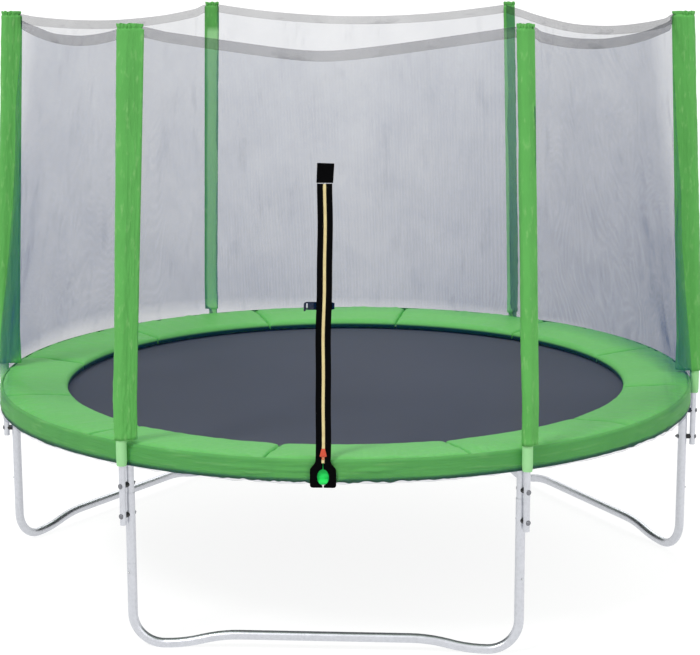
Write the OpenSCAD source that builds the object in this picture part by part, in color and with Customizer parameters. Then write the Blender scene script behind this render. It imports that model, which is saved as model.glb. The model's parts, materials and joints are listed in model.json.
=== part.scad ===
// Round garden trampoline with a zipped safety-net enclosure.
// Origin: centre of the ground footprint.  +Z up, the zip faces -Y.  Millimetres.

/* [Frame ring] */
// Radius of the frame ring, to the middle of its tube
ring_r = 1505; // [1300:5:1800]
// Height of the middle of the ring's tube above the ground
ring_z = 771; // [700:1:860]
// Outer diameter of the ring and leg tube
tube_od = 38; // [36:1:42]
// Wall of the ring and leg tube
tube_wall = 1.5; // [1:0.1:2]
// Length of each T-socket, along the ring
socket_len = 150; // [110:2:160]
// Length of tube pushed into each socket, coupler or leg
swage_len = 62; // [40:1:70]

/* [Legs] */
// Height of the top end of the leg uprights
upright_top_z = 630; // [600:1:650]
// How far the socket's stub reaches down inside the upright
stub_insert = 112; // [100:1:125]
// Height of the top end of the W-shaped leg bases
base_top_z = 345; // [320:1:380]
// Bend radius at each foot
foot_bend_r = 121; // [100:1:140]
// Width over which the base bar rises away from each foot
rise_len = 300; // [240:5:340]
// How far the middle of the base bar stands above the feet
rise_h = 39; // [25:1:50]
// Radius of the snap buttons
button_r = 4; // [3:0.5:5]

/* [Enclosure poles] */
// Outer diameter of the pole tube
pole_od = 25; // [22:1:28]
// Wall of the pole tube
pole_wall = 1.2; // [1:0.1:1.6]
// Height of the bottom end of the poles
pole_bottom_z = 509; // [490:1:520]
// Height of the joint between the lower and upper pole
pole_joint_z = 900; // [880:5:930]
// Height above which the poles lean inwards
pole_bend_z = 1000; // [980:5:1040]
// Height of the pole tubes' top ends
pole_top_z = 2395; // [2250:5:2500]
// How far the top of each pole stands inwards of its foot
pole_lean = 75; // [40:5:90]
// Radius of the bend where the lean starts
pole_bend_r = 600; // [450:10:900]
// Height of the lower pole bolts
bolt_low_z = 545; // [538:1:550]
// Height of the upper pole bolts
bolt_high_z = 665; // [655:1:672]
// Radius of the pole bolts
bolt_r = 4; // [3:0.5:5]
// Outer diameter of the foam tubes
foam_od = 42; // [38:1:48]
// Height of the bottom end of the foam tubes
foam_bottom_z = 747; // [735:1:760]

/* [Pole covers] */
// Height of the bottom hem of the fabric covers
cover_bottom_z = 849; // [845:1:870]
// How far the gathered top of a cover stands above the tube
cover_over = 17; // [12:1:25]
// Slack between the cover and the foam
cover_slack = 1.4; // [1.2:0.1:3]
// How far a cover's flap reaches inwards from the pole's middle
cover_flap = 60; // [50:1:75]
// Radius of the flap's inner fold
flap_r = 9; // [7:0.5:12]
// Depth of the creases in a cover
cover_crease = 3; // [0:0.5:4]

/* [Jump mat] */
// Radius of the jump mat
mat_r = 1316; // [1290:1:1320]
// Thickness of the jump mat
mat_t = 2; // [1.5:0.1:3]
// Width of the folded hem round the mat
mat_hem_w = 91; // [88:1:100]
// How far the hem stands out on each face of the mat
mat_fold = 0.5; // [0.3:0.1:1]
// Width of the webbing sewn round the mat
webbing_w = 45; // [30:1:60]
// Thickness of each layer of webbing
webbing_t = 1.6; // [1:0.1:2.2]
// Radius of the wire of the V-rings
ring_wire_r = 2; // [1.5:0.1:2.4]
// Side of the V-rings
v_ring_side = 32; // [28:1:36]

/* [Springs] */
// Springs on each of the six sides
springs_per_side = 9; // [6:1:9]
// Outer diameter of the springs
spring_od = 22; // [18:1:23]
// Radius of the spring wire
spring_wire_r = 1.6; // [1.2:0.1:2]
// Straight lead of wire between the ring tube and the spring's turns
spring_lead = 16; // [12:1:24]

/* [Frame pad] */
// Inner radius of the frame pad
pad_inner_r = 1229; // [1210:1:1250]
// Thickness of the frame pad
pad_t = 22; // [18:1:30]
// Rise of the pad's crown
pad_crown = 4; // [2:1:8]
// Radial seams in the pad
pad_seams = 12; // [8:1:16]
// Turn of the first seam from the +X axis
seam_turn = 18; // [0:1:29]
// Height of the skirt's lower edge
skirt_bottom_z = 745; // [735:1:760]
// Thickness of the skirt
skirt_t = 1.2; // [1:0.1:1.6]
// Depth of the skirt's folds
skirt_wave = 6; // [0:0.5:7]
// Folds round the skirt
skirt_folds = 24; // [12:12:36]

/* [Safety net] */
// Thickness of the net
net_t = 1.2; // [1:0.1:1.6]
// Height of the net's lower edge
net_bottom_z = 727; // [720:1:740]
// How far the net stands out in the middle of each side, at the pad
net_bulge = 10; // [9:1:16]
// Width of the net's cords
net_cord = 10; // [6:1:16]
// Columns of openings in each panel
net_cols = 4; // [2:2:6]
// Rows of openings in each panel
net_rows = 6; // [3:1:8]
// Height of the hem band along the net's top
hem_h = 40; // [30:1:50]
// Thickness of the hem band
hem_t = 3; // [2:0.5:5]
// Height of the hem's lower edge at the poles
hem_end_z = 2351; // [2200:1:2351]
// Sag of the hem between two poles
hem_sag = 72; // [40:1:90]
// Depth of the hem's folds
hem_fold = 6; // [0:1:8]

/* [Zip entrance] */
// Sideways place of the zip
zip_x = 13; // [-40:1:40]
// Height of the top end of the zip
zip_top_z = 1838; // [1600:1:1900]
// Width over both zip tapes
zip_w = 57; // [50:1:64]
// Thickness of the tapes
tape_t = 1.2; // [1:0.1:1.6]
// Width of the zip's chain
chain_w = 13; // [10:1:16]
// Thickness of the zip's chain
chain_t = 2.4; // [2:0.1:3]
// Height of the slider when the zip is closed
slider_z = 848; // [842:1:900]
// Height of the tab sewn over the zip's top end
tab_h = 72; // [50:1:90]
// Width of that tab
tab_w = 68; // [64:1:80]
// Height of the middle of the buckle
buckle_z = 1393; // [1200:1:1500]
// Height of the buckle, along the zip
buckle_h = 30; // [26:1:36]
// Length of the buckle when closed
buckle_len = 112; // [104:1:124]
// Sideways place of the buckle's middle, inside the net
buckle_x = -19; // [-24:1:6]
// Width of the tapes' flared lower end
bell_w = 98; // [80:2:106]

/* [Hidden] */
$fn = 48;
ring_fn = 360;
fit = 0.3;                                   // gap between pieces that touch
bore_fit = 0.3;                              // radial play of bolts, buttons and swaged ends
SIDES = 6;
SIDE_ANGLE = 360 / SIDES;
POLE_NAMES = ["right", "back_right", "back_left", "left", "front_left", "front_right"];
SIDE_NAMES = ["right_back", "back", "left_back", "left_front", "front", "right_front"];
LEG_NAMES = ["right", "left", "front"];
LEG_SIDES = [0, 2, 4];                       // sides of the hexagon that have a leg
FRONT = 4;                                   // the side with the zip

tube_r = tube_od / 2;
bore_r = tube_r - tube_wall;
swage_r = bore_r - bore_fit;
swage_bore_r = swage_r - tube_wall;
ring_out_r = ring_r + tube_r;
socket_half = socket_len / 2 / ring_r * 180 / PI;
shoulder_gap = fit / ring_r * 180 / PI;
swage_angle = swage_len / ring_r * 180 / PI;
wall_angle = tube_wall / ring_r * 180 / PI;
stub_bottom_z = upright_top_z - stub_insert;

leg_half = ring_r * sin(SIDE_ANGLE / 2);     // from a leg's middle to its uprights
leg_apothem = ring_r * cos(SIDE_ANGLE / 2);
rise_a = 2 * atan(rise_h / rise_len);        // turn of each half of the S-shaped rise
rise_r = rise_len / 2 / sin(rise_a);
button_drop = 35;                            // from the base's top end to the snap button
button_z = base_top_z - button_drop;
mark_h = 0.5;                                // bending marks on the tubes
mark_w = 6;

skirt_r = ring_out_r + fit;                  // inner face of the skirt
skirt_steps = 4 * skirt_folds;
skirt_flat = skirt_r * (1 / cos(180 / skirt_steps) - 1);
pad_outer_r = skirt_r + skirt_t + skirt_flat;
net_r = pad_outer_r + fit + net_t / 2;       // middle of the net, beside the poles
foam_r = foam_od / 2;
pole_r = net_r + net_t / 2 + fit + foam_r;   // where the poles stand
pole_tube_r = pole_od / 2;
pole_bore_r = pole_tube_r - pole_wall;
lean_a = atan(pole_lean / (pole_top_z - pole_bend_z));
bend_sag = pole_bend_r * (1 / cos(lean_a / 2) - 1);
foam_bore_r = pole_tube_r + mark_h + bend_sag + fit;
bend_run = pole_bend_r * tan(lean_a / 2);    // from the bend's ends to the corner it rounds
cap_t = 5;
cap_plug = 18;
head_r = 2 * bolt_r;
head_h = 4;
nut_r = 1.9 * bolt_r;
nut_h = 7;
spacer_r = 11;

cover_r = foam_r + cover_slack + 1.1;        // outer radius of a cover round its foam
cloth_t = 1;
cover_top_z = pole_top_z + cover_over;
cover_sides = 12;
cover_rings = 8;
seam_in = 27;                                // net seam, inwards of the pole's middle
flap_slope = (cover_r - flap_r) / (cover_flap - flap_r);
flank = cover_r - seam_in * flap_slope + 2;  // half width of a cover at that seam

webbing_edge = fit + webbing_t;              // how far the strip reaches past the mat
loop_t = 1.6;
loop_len = 18;
loop_r = ring_wire_r * sqrt(2) + bore_fit + loop_t;
v_bar_r = mat_r + webbing_edge + fit + loop_r;
v_apex_r = v_bar_r + v_ring_side * cos(30);  // middle of the V-rings' outer corners
mat_z = ring_z - ring_wire_r - spring_wire_r - 0.4;
hook_len = 9;                                // from the spring's axis down through its V-ring
hook_r = v_apex_r - (ring_wire_r + spring_wire_r + fit) / sin(30);
coil_out_r = ring_r - tube_r - spring_lead;
coil_in_r = v_apex_r + 8;
hem_half = mat_t / 2 + mat_fold;
webbing_top_z = mat_z + hem_half + fit + webbing_t;
spring_count = SIDES * springs_per_side;

ring_top_z = ring_z + tube_r;
pad_edge_r = pad_t / 2;
pad_low_out = ring_top_z + fit;              // underside of the pad over the ring
pad_low_in = webbing_top_z + 3;              // underside of the pad's inner edge
pad_knee_r = (coil_in_r + ring_r) / 2;       // inside this radius the underside drops
pad_top_z = pad_low_out + pad_t;
pad_w = pad_outer_r - pad_inner_r;
seam_w = 5;
seam_d = 1.6;
skirt_top_z = pad_low_out + 1;

edge_z = pad_top_z + pad_crown + 1;          // height at which the net leaves the pad
net_seam_r = pole_at(hem_end_z) - seam_in;
seam_top = [net_seam_r * cos(SIDE_ANGLE / 2) + flank * sin(SIDE_ANGLE / 2),
            net_seam_r * sin(SIDE_ANGLE / 2) - flank * cos(SIDE_ANGLE / 2)];
seam_turn_low = SIDE_ANGLE / 2 - asin((flank + 1) / net_r);
half_chord = seam_top[1];
hem_steps = 14;

zip_out = net_r + net_bulge;                 // the zip's line, at the pad and at the hem
zip_low = [-zip_out, edge_z];
zip_high = [-seam_top[0], hem_end_z - hem_sag];
zip_tilt = atan((zip_high[0] - zip_low[0]) / (zip_high[1] - zip_low[1]));
tape_off = net_t / 2 + fit;                  // layers, outwards from the middle of the net
chain_off = tape_off + tape_t + fit;
slider_off = chain_off + chain_t + fit;
slider_top = slider_off + 2.2;
pull_t = 1.6;
strap_off = net_t / 2 + 3 * fit;             // inwards; the net curves in beside the zip
strap_t = 1.6;
buckle_t = 9;
buckle_off = -(strap_off + strap_t + fit + buckle_t);
zip_len = (zip_top_z - edge_z) / cos(zip_tilt);
slider_len = 26;
slider_w = chain_w + 9;
strap_out = 10;                              // how far a strap shows beside the tapes
eye_w = 44;
eye_h = 62;
eye_rim = 9;                                 // tape left below the eye
bell_r = 10;
bell_slope = 22;
bar_h = 5;                                   // sewn bar where the tapes part

// Distance of a pole's middle from the Z axis, at a height.
function pole_at(z) = pole_r - max(0, z - pole_bend_z) * tan(lean_a);
// Height of the hem's lower edge, at a place u from -1 to 1 along a side.
function hem_low(u) = hem_end_z - hem_sag * (1 - u * u);
function mix(a, b, k) = a + (b - a) * k;

// ---------------------------------------------------------------- helpers

module on_side(k) rotate([0, 0, (k + 0.5) * SIDE_ANGLE]) children();
module at_pole(k) rotate([0, 0, k * SIDE_ANGLE]) children();
module each_pole() for (k = [0:SIDES - 1]) at_pole(k) children();

// Arc of round bar about the Z axis, from turn a to turn b.
module ring_bar(path_r, r, a, b)
    rotate([0, 0, a])
        rotate_extrude(angle = b - a, $fn = ring_fn)
            translate([path_r, 0]) circle(r = r);

// Arc of round bar in the XZ plane, about the point c.
module bend(c, path_r, r, a, b)
    translate([c[0], 0, c[1]])
        rotate([90, 0, 0]) rotate([0, 0, a])
            rotate_extrude(angle = b - a, $fn = 96)
                translate([path_r, 0]) circle(r = r);

// Places what is drawn upright at the origin onto a pole's leaning part.
module on_lean()
    translate([pole_r, 0, pole_bend_z]) rotate([0, -lean_a, 0]) children();

// Places a layer onto the zip: X sideways, Y up along the zip, Z outwards from the net.
module on_zip()
    translate([zip_x, zip_low[0], zip_low[1]])
        rotate([90 - zip_tilt, 0, 0]) children();

// Closed skin between two stacks of rings with the same number of points.
module shell(outer, inner) {
    n = len(outer[0]);
    m = len(outer);
    pts = [for (s = [outer, inner], r = s, p = r) p];
    function at(s, i, j) = s * n * m + i * n + j % n;
    quads = concat(
        [for (i = [0:m - 2], j = [0:n - 1])
            [at(0, i, j), at(0, i + 1, j), at(0, i + 1, j + 1), at(0, i, j + 1)]],
        [for (i = [0:m - 2], j = [0:n - 1])
            [at(1, i, j), at(1, i, j + 1), at(1, i + 1, j + 1), at(1, i + 1, j)]],
        [for (j = [0:n - 1]) [at(0, 0, j), at(0, 0, j + 1), at(1, 0, j + 1), at(1, 0, j)]],
        [for (j = [0:n - 1])
            [at(0, m - 1, j), at(1, m - 1, j), at(1, m - 1, j + 1), at(0, m - 1, j + 1)]]);
    polyhedron(points = pts, faces = halves(quads));
}

// Splits each four-cornered face into two triangles.
function halves(quads) = [for (q = quads, t = [[0, 1, 2], [0, 2, 3]]) [for (i = t) q[i]]];

// ---------------------------------------------------------------- frame

module frame_rail(k) color("silver") {
    a = k * SIDE_ANGLE + socket_half + shoulder_gap;
    b = (k + 1) * SIDE_ANGLE - socket_half - shoulder_gap;
    difference() {
        union() {
            ring_bar_at_height(tube_r, a, b);
            ring_bar_at_height(swage_r, a - swage_angle, b + swage_angle);
        }
        ring_bar_at_height(bore_r, a + wall_angle, b - wall_angle);
        ring_bar_at_height(swage_bore_r, a - swage_angle - wall_angle, b + swage_angle + wall_angle);
        spring_holes(k);
    }
}

module ring_bar_at_height(r, a, b) translate([0, 0, ring_z]) ring_bar(ring_r, r, a, b);

module spring_holes(k)
    for (i = [0:springs_per_side - 1])
        rotate([0, 0, (k + (i + 0.5) / springs_per_side) * SIDE_ANGLE])
            translate([ring_r - tube_r - 1, 0, ring_z])
                rotate([0, 90, 0]) cylinder(r = spring_wire_r + 0.4, h = tube_r, $fn = 24);

module leg_socket() color("silver")
    difference() {
        union() {
            ring_bar_at_height(tube_r, -socket_half, socket_half);
            translate([ring_r, 0, stub_bottom_z])
                cylinder(r = swage_r, h = ring_z - stub_bottom_z);
        }
        ring_bar_at_height(bore_r, -socket_half - 1, socket_half + 1);
        translate([ring_r, 0, stub_bottom_z - 1])
            cylinder(r = swage_bore_r, h = ring_z - stub_bottom_z + 1);
        pole_bolt_holes();
    }

module leg_upright() color("silver")
    difference() {
        union() {
            translate([ring_r, 0, base_top_z + fit])
                cylinder(r = tube_r, h = upright_top_z - base_top_z - fit);
            translate([ring_r, 0, base_top_z - swage_len])
                cylinder(r = swage_r, h = swage_len + tube_wall);
        }
        translate([ring_r, 0, base_top_z + fit + 2 * tube_wall])
            cylinder(r = bore_r, h = upright_top_z - base_top_z);
        translate([ring_r, 0, base_top_z - swage_len - 1])
            cylinder(r = swage_bore_r, h = upright_top_z - base_top_z);
        pole_bolt_holes();
        button_hole();
    }

module button_hole()
    translate([ring_r, 0, button_z])
        rotate([0, 90, 0]) cylinder(r = button_r + bore_fit, h = tube_r + 1, $fn = 24);

module snap_button() color("gainsboro")
    translate([ring_r + swage_bore_r - 3, 0, button_z])
        rotate([0, 90, 0]) {
            cylinder(r = button_r, h = tube_r - swage_bore_r + 5, $fn = 24);
            translate([0, 0, tube_r - swage_bore_r + 5]) sphere(r = button_r, $fn = 24);
        }

// Middle line of a leg's base, as one bar of radius r, in the XZ plane.
module base_bar(r) {
    foot = leg_half - foot_bend_r;
    flat = foot - rise_len;
    for (side = [0, 1]) mirror([side, 0, 0]) {
        translate([-leg_half, 0, foot_bend_r + tube_r])
            cylinder(r = r, h = base_top_z - foot_bend_r - tube_r);
        bend([-foot, foot_bend_r + tube_r], foot_bend_r, r, 180, 270);
        bend([-foot, tube_r + rise_r], rise_r, r, 270, 270 + rise_a);
        bend([-flat, tube_r + rise_h - rise_r], rise_r, r, 90, 90 + rise_a);
    }
    translate([-flat, 0, tube_r + rise_h]) rotate([0, 90, 0]) cylinder(r = r, h = 2 * flat);
}

// Press mark of the bending die, where the bar's two rising arcs meet.
module rise_marks()
    for (side = [0, 1]) mirror([side, 0, 0])
        translate([-leg_half + foot_bend_r + rise_len / 2, 0, tube_r + rise_h / 2])
            rotate([0, 90 - rise_a, 0]) cylinder(r = tube_r + mark_h, h = mark_w, center = true);

module leg_base(side) color("silver")
    difference() {
        on_side(side) translate([leg_apothem, 0, 0]) rotate([0, 0, 90])
            difference() {
                union() {
                    base_bar(tube_r);
                    rise_marks();
                }
                base_bar(bore_r);
                for (s = [-1, 1])
                    translate([s * leg_half, 0, base_top_z - 1]) cylinder(r = bore_r, h = 2);
            }
        at_pole(side) button_hole();
        at_pole(side + 1) button_hole();
    }

// ---------------------------------------------------------------- enclosure poles

module pole_bolt_holes()
    for (z = [bolt_low_z, bolt_high_z])
        translate([ring_r - tube_r - 1, 0, z])
            rotate([0, 90, 0]) cylinder(r = bolt_r + bore_fit, h = pole_r - ring_r + 2 * tube_od, $fn = 24);

module pole_lower() color("silver")
    difference() {
        union() {
            translate([pole_r, 0, pole_bottom_z])
                cylinder(r = pole_tube_r, h = pole_joint_z - pole_bottom_z - fit);
            translate([pole_r, 0, pole_joint_z - 2 * pole_wall])
                cylinder(r = pole_bore_r - bore_fit, h = swage_len);
        }
        translate([pole_r, 0, pole_bottom_z - 1])
            cylinder(r = pole_bore_r - bore_fit - pole_wall, h = pole_joint_z + swage_len);
        pole_bolt_holes();
    }

module pole_upper() color("silver")
    difference() {
        pole_bar(pole_tube_r, 0);
        pole_bar(pole_bore_r, 1);
    }

// Upper pole as a solid bar of radius r, with its ends lengthened by extra.  The bent
// stretch is mark_h larger in radius, and the straight stretches end inside it.
module pole_bar(r, extra) {
    straight = pole_bend_z - bend_run - pole_joint_z;
    translate([pole_r, 0, pole_joint_z - extra])
        cylinder(r = r, h = straight + extra + mark_w / 2);
    bend([pole_r - pole_bend_r, pole_bend_z - bend_run], pole_bend_r, r + mark_h, 0, lean_a);
    on_lean() translate([0, 0, bend_run - mark_w / 2])
        cylinder(r = r, h = lean_len() - bend_run + mark_w / 2 + extra);
}

function lean_len() = (pole_top_z - pole_bend_z) / cos(lean_a);

module pole_spacer(z, leg_r) color("dimgray")
    difference() {
        translate([ring_r, 0, z]) rotate([0, 90, 0]) cylinder(r = spacer_r, h = pole_r - ring_r);
        translate([ring_r, 0, z - 2 * spacer_r]) cylinder(r = leg_r + fit, h = 4 * spacer_r);
        translate([pole_r, 0, z - 2 * spacer_r]) cylinder(r = pole_tube_r + fit, h = 4 * spacer_r);
        pole_bolt_holes();
    }

module pole_bolt(z) color("dimgray")
    translate([ring_r - tube_r - nut_h - 5, 0, z]) rotate([0, 90, 0]) {
        length = pole_r + pole_tube_r + fit - (ring_r - tube_r - nut_h - 5);
        cylinder(r = bolt_r, h = length, $fn = 24);
        translate([0, 0, length]) cylinder(r = head_r, h = head_h);
    }

module pole_nut(z, leg_r) color("dimgray")
    translate([ring_r - leg_r - fit - nut_h, 0, z]) rotate([0, 90, 0])
        difference() {
            cylinder(r = nut_r, h = nut_h, $fn = 6);
            translate([0, 0, -1]) cylinder(r = bolt_r + 0.1, h = nut_h + 2, $fn = 24);
        }

module pole_cap() color("dimgray")
    on_lean() translate([0, 0, lean_len()]) {
        translate([0, 0, -cap_plug]) cylinder(r = pole_bore_r - bore_fit, h = cap_plug + fit);
        translate([0, 0, fit]) cylinder(r = pole_tube_r, h = cap_t);
    }

module pole_foam() color("yellowgreen") {
    gap = foam_r * tan(lean_a);
    difference() {
        translate([pole_r, 0, foam_bottom_z])
            cylinder(r = foam_r, h = pole_bend_z - foam_bottom_z - gap);
        translate([pole_r, 0, foam_bottom_z - 1])
            cylinder(r = foam_bore_r, h = pole_bend_z - foam_bottom_z + 2);
    }
    difference() {
        on_lean() translate([0, 0, gap]) cylinder(r = foam_r, h = lean_len() - gap - 1);
        on_lean() cylinder(r = foam_bore_r, h = lean_len() + 2);
    }
}

// Outline of a cover at height z: round the foam, with a flap that narrows inwards.
function cover_ring(z, inset, crease, cinch) =
    [for (i = [0:cover_sides - 1])
        let (a = (i + 0.5) * 360 / cover_sides,
             on_flap = cos(a) < -flap_slope,
             r = on_flap ? flap_r * cinch : cover_r + crease * max(0, cos(a)) * cos(2 * a),
             c = on_flap ? -(cover_flap - flap_r) * cinch + crease : 0)
        [pole_at(z) + c + (r - inset) * cos(a), (r - inset) * sin(a), z]];

module pole_cover(k) color("limegreen") {
    gather_z = cover_top_z - 9;
    heights = concat([cover_bottom_z], [for (i = [0:cover_rings - 4])
        mix(pole_bend_z, gather_z - 40, i / (cover_rings - 4))], [gather_z, cover_top_z]);
    crease = function(i) i == cover_rings - 1 ? 0 : cover_crease * (0.5 + 0.5 * sin(i * 130 + k * 75));
    cinch = function(i) i == cover_rings - 2 ? 0.82 : 1;
    shell([for (i = [0:cover_rings - 1]) cover_ring(heights[i], 0, crease(i), cinch(i))],
          [for (i = [0:cover_rings - 1]) cover_ring(heights[i], cloth_t, crease(i), cinch(i))]);
}

// ---------------------------------------------------------------- mat and springs

// A disc whose edge is folded over into a thicker hem.
module jump_mat() color("dimgray")
    difference() {
        translate([0, 0, mat_z - hem_half]) cylinder(r = mat_r, h = 2 * hem_half, $fn = ring_fn);
        for (s = [0, 1]) mirror([0, 0, s])
            translate([0, 0, mat_t / 2 + (s ? -mat_z : mat_z)])
                cylinder(r = mat_r - mat_hem_w, h = 2 * mat_fold, $fn = ring_fn);
    }

// Folded strip round the mat's edge, and the short loops that hold the V-rings.
module mat_webbing() color("black") {
    rotate_extrude($fn = ring_fn) difference() {
        translate([mat_r - webbing_w, mat_z - hem_half - fit - webbing_t])
            square([webbing_w + webbing_edge, 2 * (hem_half + fit + webbing_t)]);
        translate([mat_r - webbing_w - 1, mat_z - hem_half - fit])
            square([webbing_w + 1 + fit, 2 * (hem_half + fit)]);
    }
    each_spring() translate([v_bar_r, 0, mat_z]) rotate([90, 0, 0])
        difference() {
            cylinder(r = loop_r, h = loop_len, center = true, $fn = 24);
            cylinder(r = loop_r - loop_t, h = loop_len + 1, center = true, $fn = 24);
        }
}

module each_spring()
    for (i = [0:spring_count - 1]) rotate([0, 0, (i + 0.5) * 360 / spring_count]) children();

// Three-sided rings whose points face outwards.
module mat_rings() color("gainsboro")
    each_spring() translate([v_bar_r, 0, mat_z - ring_wire_r])
        linear_extrude(2 * ring_wire_r) difference() {
            triangle(v_ring_side + 2 * sqrt(3) * ring_wire_r, ring_wire_r);
            triangle(v_ring_side - 2 * sqrt(3) * ring_wire_r, -ring_wire_r);
        }

// Equal-sided triangle pointing along +X, its base moved out by back.
module triangle(side, back)
    polygon([[-back, -side / 2], [side * cos(30) - back, 0], [-back, side / 2]]);

module springs() color("gainsboro")
    each_spring() {
        translate([coil_in_r, 0, ring_z]) rotate([0, 90, 0]) {
            difference() {
                cylinder(d = spring_od, h = coil_out_r - coil_in_r);
                translate([0, 0, 2 * spring_wire_r])
                    cylinder(d = spring_od - 4 * spring_wire_r,
                             h = coil_out_r - coil_in_r - 4 * spring_wire_r);
            }
            translate([0, 0, coil_out_r - coil_in_r - spring_wire_r])
                cylinder(r = spring_wire_r, h = spring_lead + tube_wall + 8, $fn = 24);
        }
        translate([hook_r, 0, ring_z]) {
            rotate([0, 90, 0])
                cylinder(r = spring_wire_r, h = coil_in_r - hook_r + spring_wire_r, $fn = 24);
            translate([0, 0, -hook_len]) cylinder(r = spring_wire_r, h = hook_len, $fn = 24);
            sphere(r = spring_wire_r, $fn = 24);
        }
    }

// ---------------------------------------------------------------- frame pad

// Section of the pad: a flat underside that drops inwards, round edges and a crowned top.
module pad_section() {
    crown_r = (pow(pad_w / 2, 2) + pow(pad_crown, 2)) / (2 * pad_crown);
    r = pad_edge_r;
    drop = pad_low_out - pad_low_in;
    polygon([[pad_inner_r + r, pad_low_in], [pad_knee_r, pad_low_out], [pad_outer_r - r, pad_low_out],
             [pad_outer_r - r, pad_top_z], [pad_inner_r + r, pad_top_z - drop]]);
    translate([pad_inner_r + r, pad_low_in + r]) circle(r = r);
    translate([pad_outer_r - r, pad_low_out + r]) circle(r = r);
    intersection() {
        translate([pad_inner_r + pad_w / 2, pad_top_z - drop / 2 + pad_crown - crown_r])
            circle(r = crown_r, $fn = ring_fn);
        translate([pad_inner_r + r, pad_top_z - drop]) square([pad_w - 2 * r, drop + pad_crown + 1]);
    }
}

module frame_pad() color("limegreen")
    difference() {
        rotate_extrude($fn = ring_fn) pad_section();
        for (i = [0:pad_seams - 1])
            rotate([0, 0, seam_turn + i * 360 / pad_seams])
                translate([pad_inner_r + pad_edge_r, -seam_w / 2, pad_top_z - seam_d])
                    cube([pad_w - 2 * pad_edge_r, seam_w, pad_crown + seam_d + 1]);
    }

// Inner face of the skirt at turn a, at the top (low = 0) or the bottom (low = 1).
function skirt_point(a, low, out) =
    let (calm = pow(sin(a * SIDES / 2), 2),
         fold = calm * (0.5 - 0.5 * cos(skirt_folds * a)) * low,
         r = skirt_r + out + skirt_wave * fold,
         z = mix(skirt_top_z, skirt_bottom_z + 3 * fold, low))
    [r * cos(a), r * sin(a), z];

module pad_skirt() color("forestgreen") {
    turns = [for (i = [0:skirt_steps - 1]) i * 360 / skirt_steps];
    shell([for (low = [1, 0]) [for (a = turns) skirt_point(-a, low, skirt_t + skirt_flat)]],
          [for (low = [1, 0]) [for (a = turns) skirt_point(-a, low, skirt_flat)]]);
}

// ---------------------------------------------------------------- net

// A net panel is drawn about the +X axis.  Its cords are horizontal bars, each between
// two row lines, and upright bars.  u runs from -1 to 1 across the panel.
net_half = net_cord / half_chord / 2;
hem_gap = 2 * fit;                           // from the panel's top to the hem
slot_half = 1.5 / half_chord;
zip_u = zip_x / half_chord;
bar_count = net_rows + 1;
edge_steps = 4;                              // straight pieces per column in the end bars

// Share of the panel's height above the pad at row line r; the first bar hangs beside the pad.
function row_share(r) =
    let (bar = floor(r / 2), top_side = r % 2)
    bar == 0 ? 0 : mix(0.02, 1, (bar - (top_side ? 0 : 0.06)) / net_rows);

// Point of the panel's surface, half its thickness to the inside (s = -1) or outside (s = 1).
function net_point(u, r, s) =
    let (a = u * seam_turn_low,
         out = net_r + net_bulge * sqrt(max(0, 1 - u * u)),
         low = [out * cos(a), out * sin(a)],
         high = [seam_top[0], u * half_chord],
         share = row_share(r),
         xy = mix(low, high, share),
         z = r == 0 ? net_bottom_z : mix(edge_z, hem_low(u) - hem_gap, share),
         face = a * (1 - share))
    [xy[0] + s * net_t / 2 * cos(face), xy[1] + s * net_t / 2 * sin(face), z];

// Middle and edges of the upright bars.
function bar_mid(k, split) =
    k == 0 ? -1 + net_half : k == net_cols ? 1 - net_half :
    mix(-1, 1, k / net_cols) + (split && k == net_cols / 2 ? zip_u : 0);
function bar_cuts(k, split) =
    let (c = bar_mid(k, split))
    split && k == net_cols / 2 ? [c - net_half, c - slot_half, c + slot_half, c + net_half]
                               : [c - net_half, c + net_half];
// Cuts of horizontal bar j: those of the upright bars, and the steps between them.
function row_cuts(j, split) =
    [for (k = [0:net_cols]) each concat(bar_cuts(k, split),
        k == net_cols ? [] :
        let (from = bar_mid(k, split) + net_half, to = bar_mid(k + 1, split) - net_half,
             n = j == 0 || j == bar_count - 1 ? edge_steps : 1)
        n == 1 ? [] : [for (i = [1:n - 1]) mix(from, to, i / n)])];

function on_upright(u, split) =
    len([for (k = [0:net_cols]) if (abs(u - bar_mid(k, split)) < net_half) 1]) > 0;
function below_zip_top(r) = mix(edge_z, hem_low(0), row_share(r)) < zip_top_z + tab_h / 2;
function is_slot(u, r, split) = split && abs(u - bar_mid(net_cols / 2, true)) < slot_half && below_zip_top(r);

function face_pair(a, b, lo, hi) = [
    [net_point(a, lo, 1), net_point(a, hi, 1), net_point(b, hi, 1), net_point(b, lo, 1)],
    [net_point(a, lo, -1), net_point(b, lo, -1), net_point(b, hi, -1), net_point(a, hi, -1)]];
function level_wall(a, b, r, up) = up
    ? [net_point(a, r, 1), net_point(a, r, -1), net_point(b, r, -1), net_point(b, r, 1)]
    : [net_point(a, r, 1), net_point(b, r, 1), net_point(b, r, -1), net_point(a, r, -1)];
function end_wall(a, lo, hi, right) = right
    ? [net_point(a, lo, 1), net_point(a, hi, 1), net_point(a, hi, -1), net_point(a, lo, -1)]
    : [net_point(a, lo, 1), net_point(a, lo, -1), net_point(a, hi, -1), net_point(a, hi, 1)];

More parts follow.
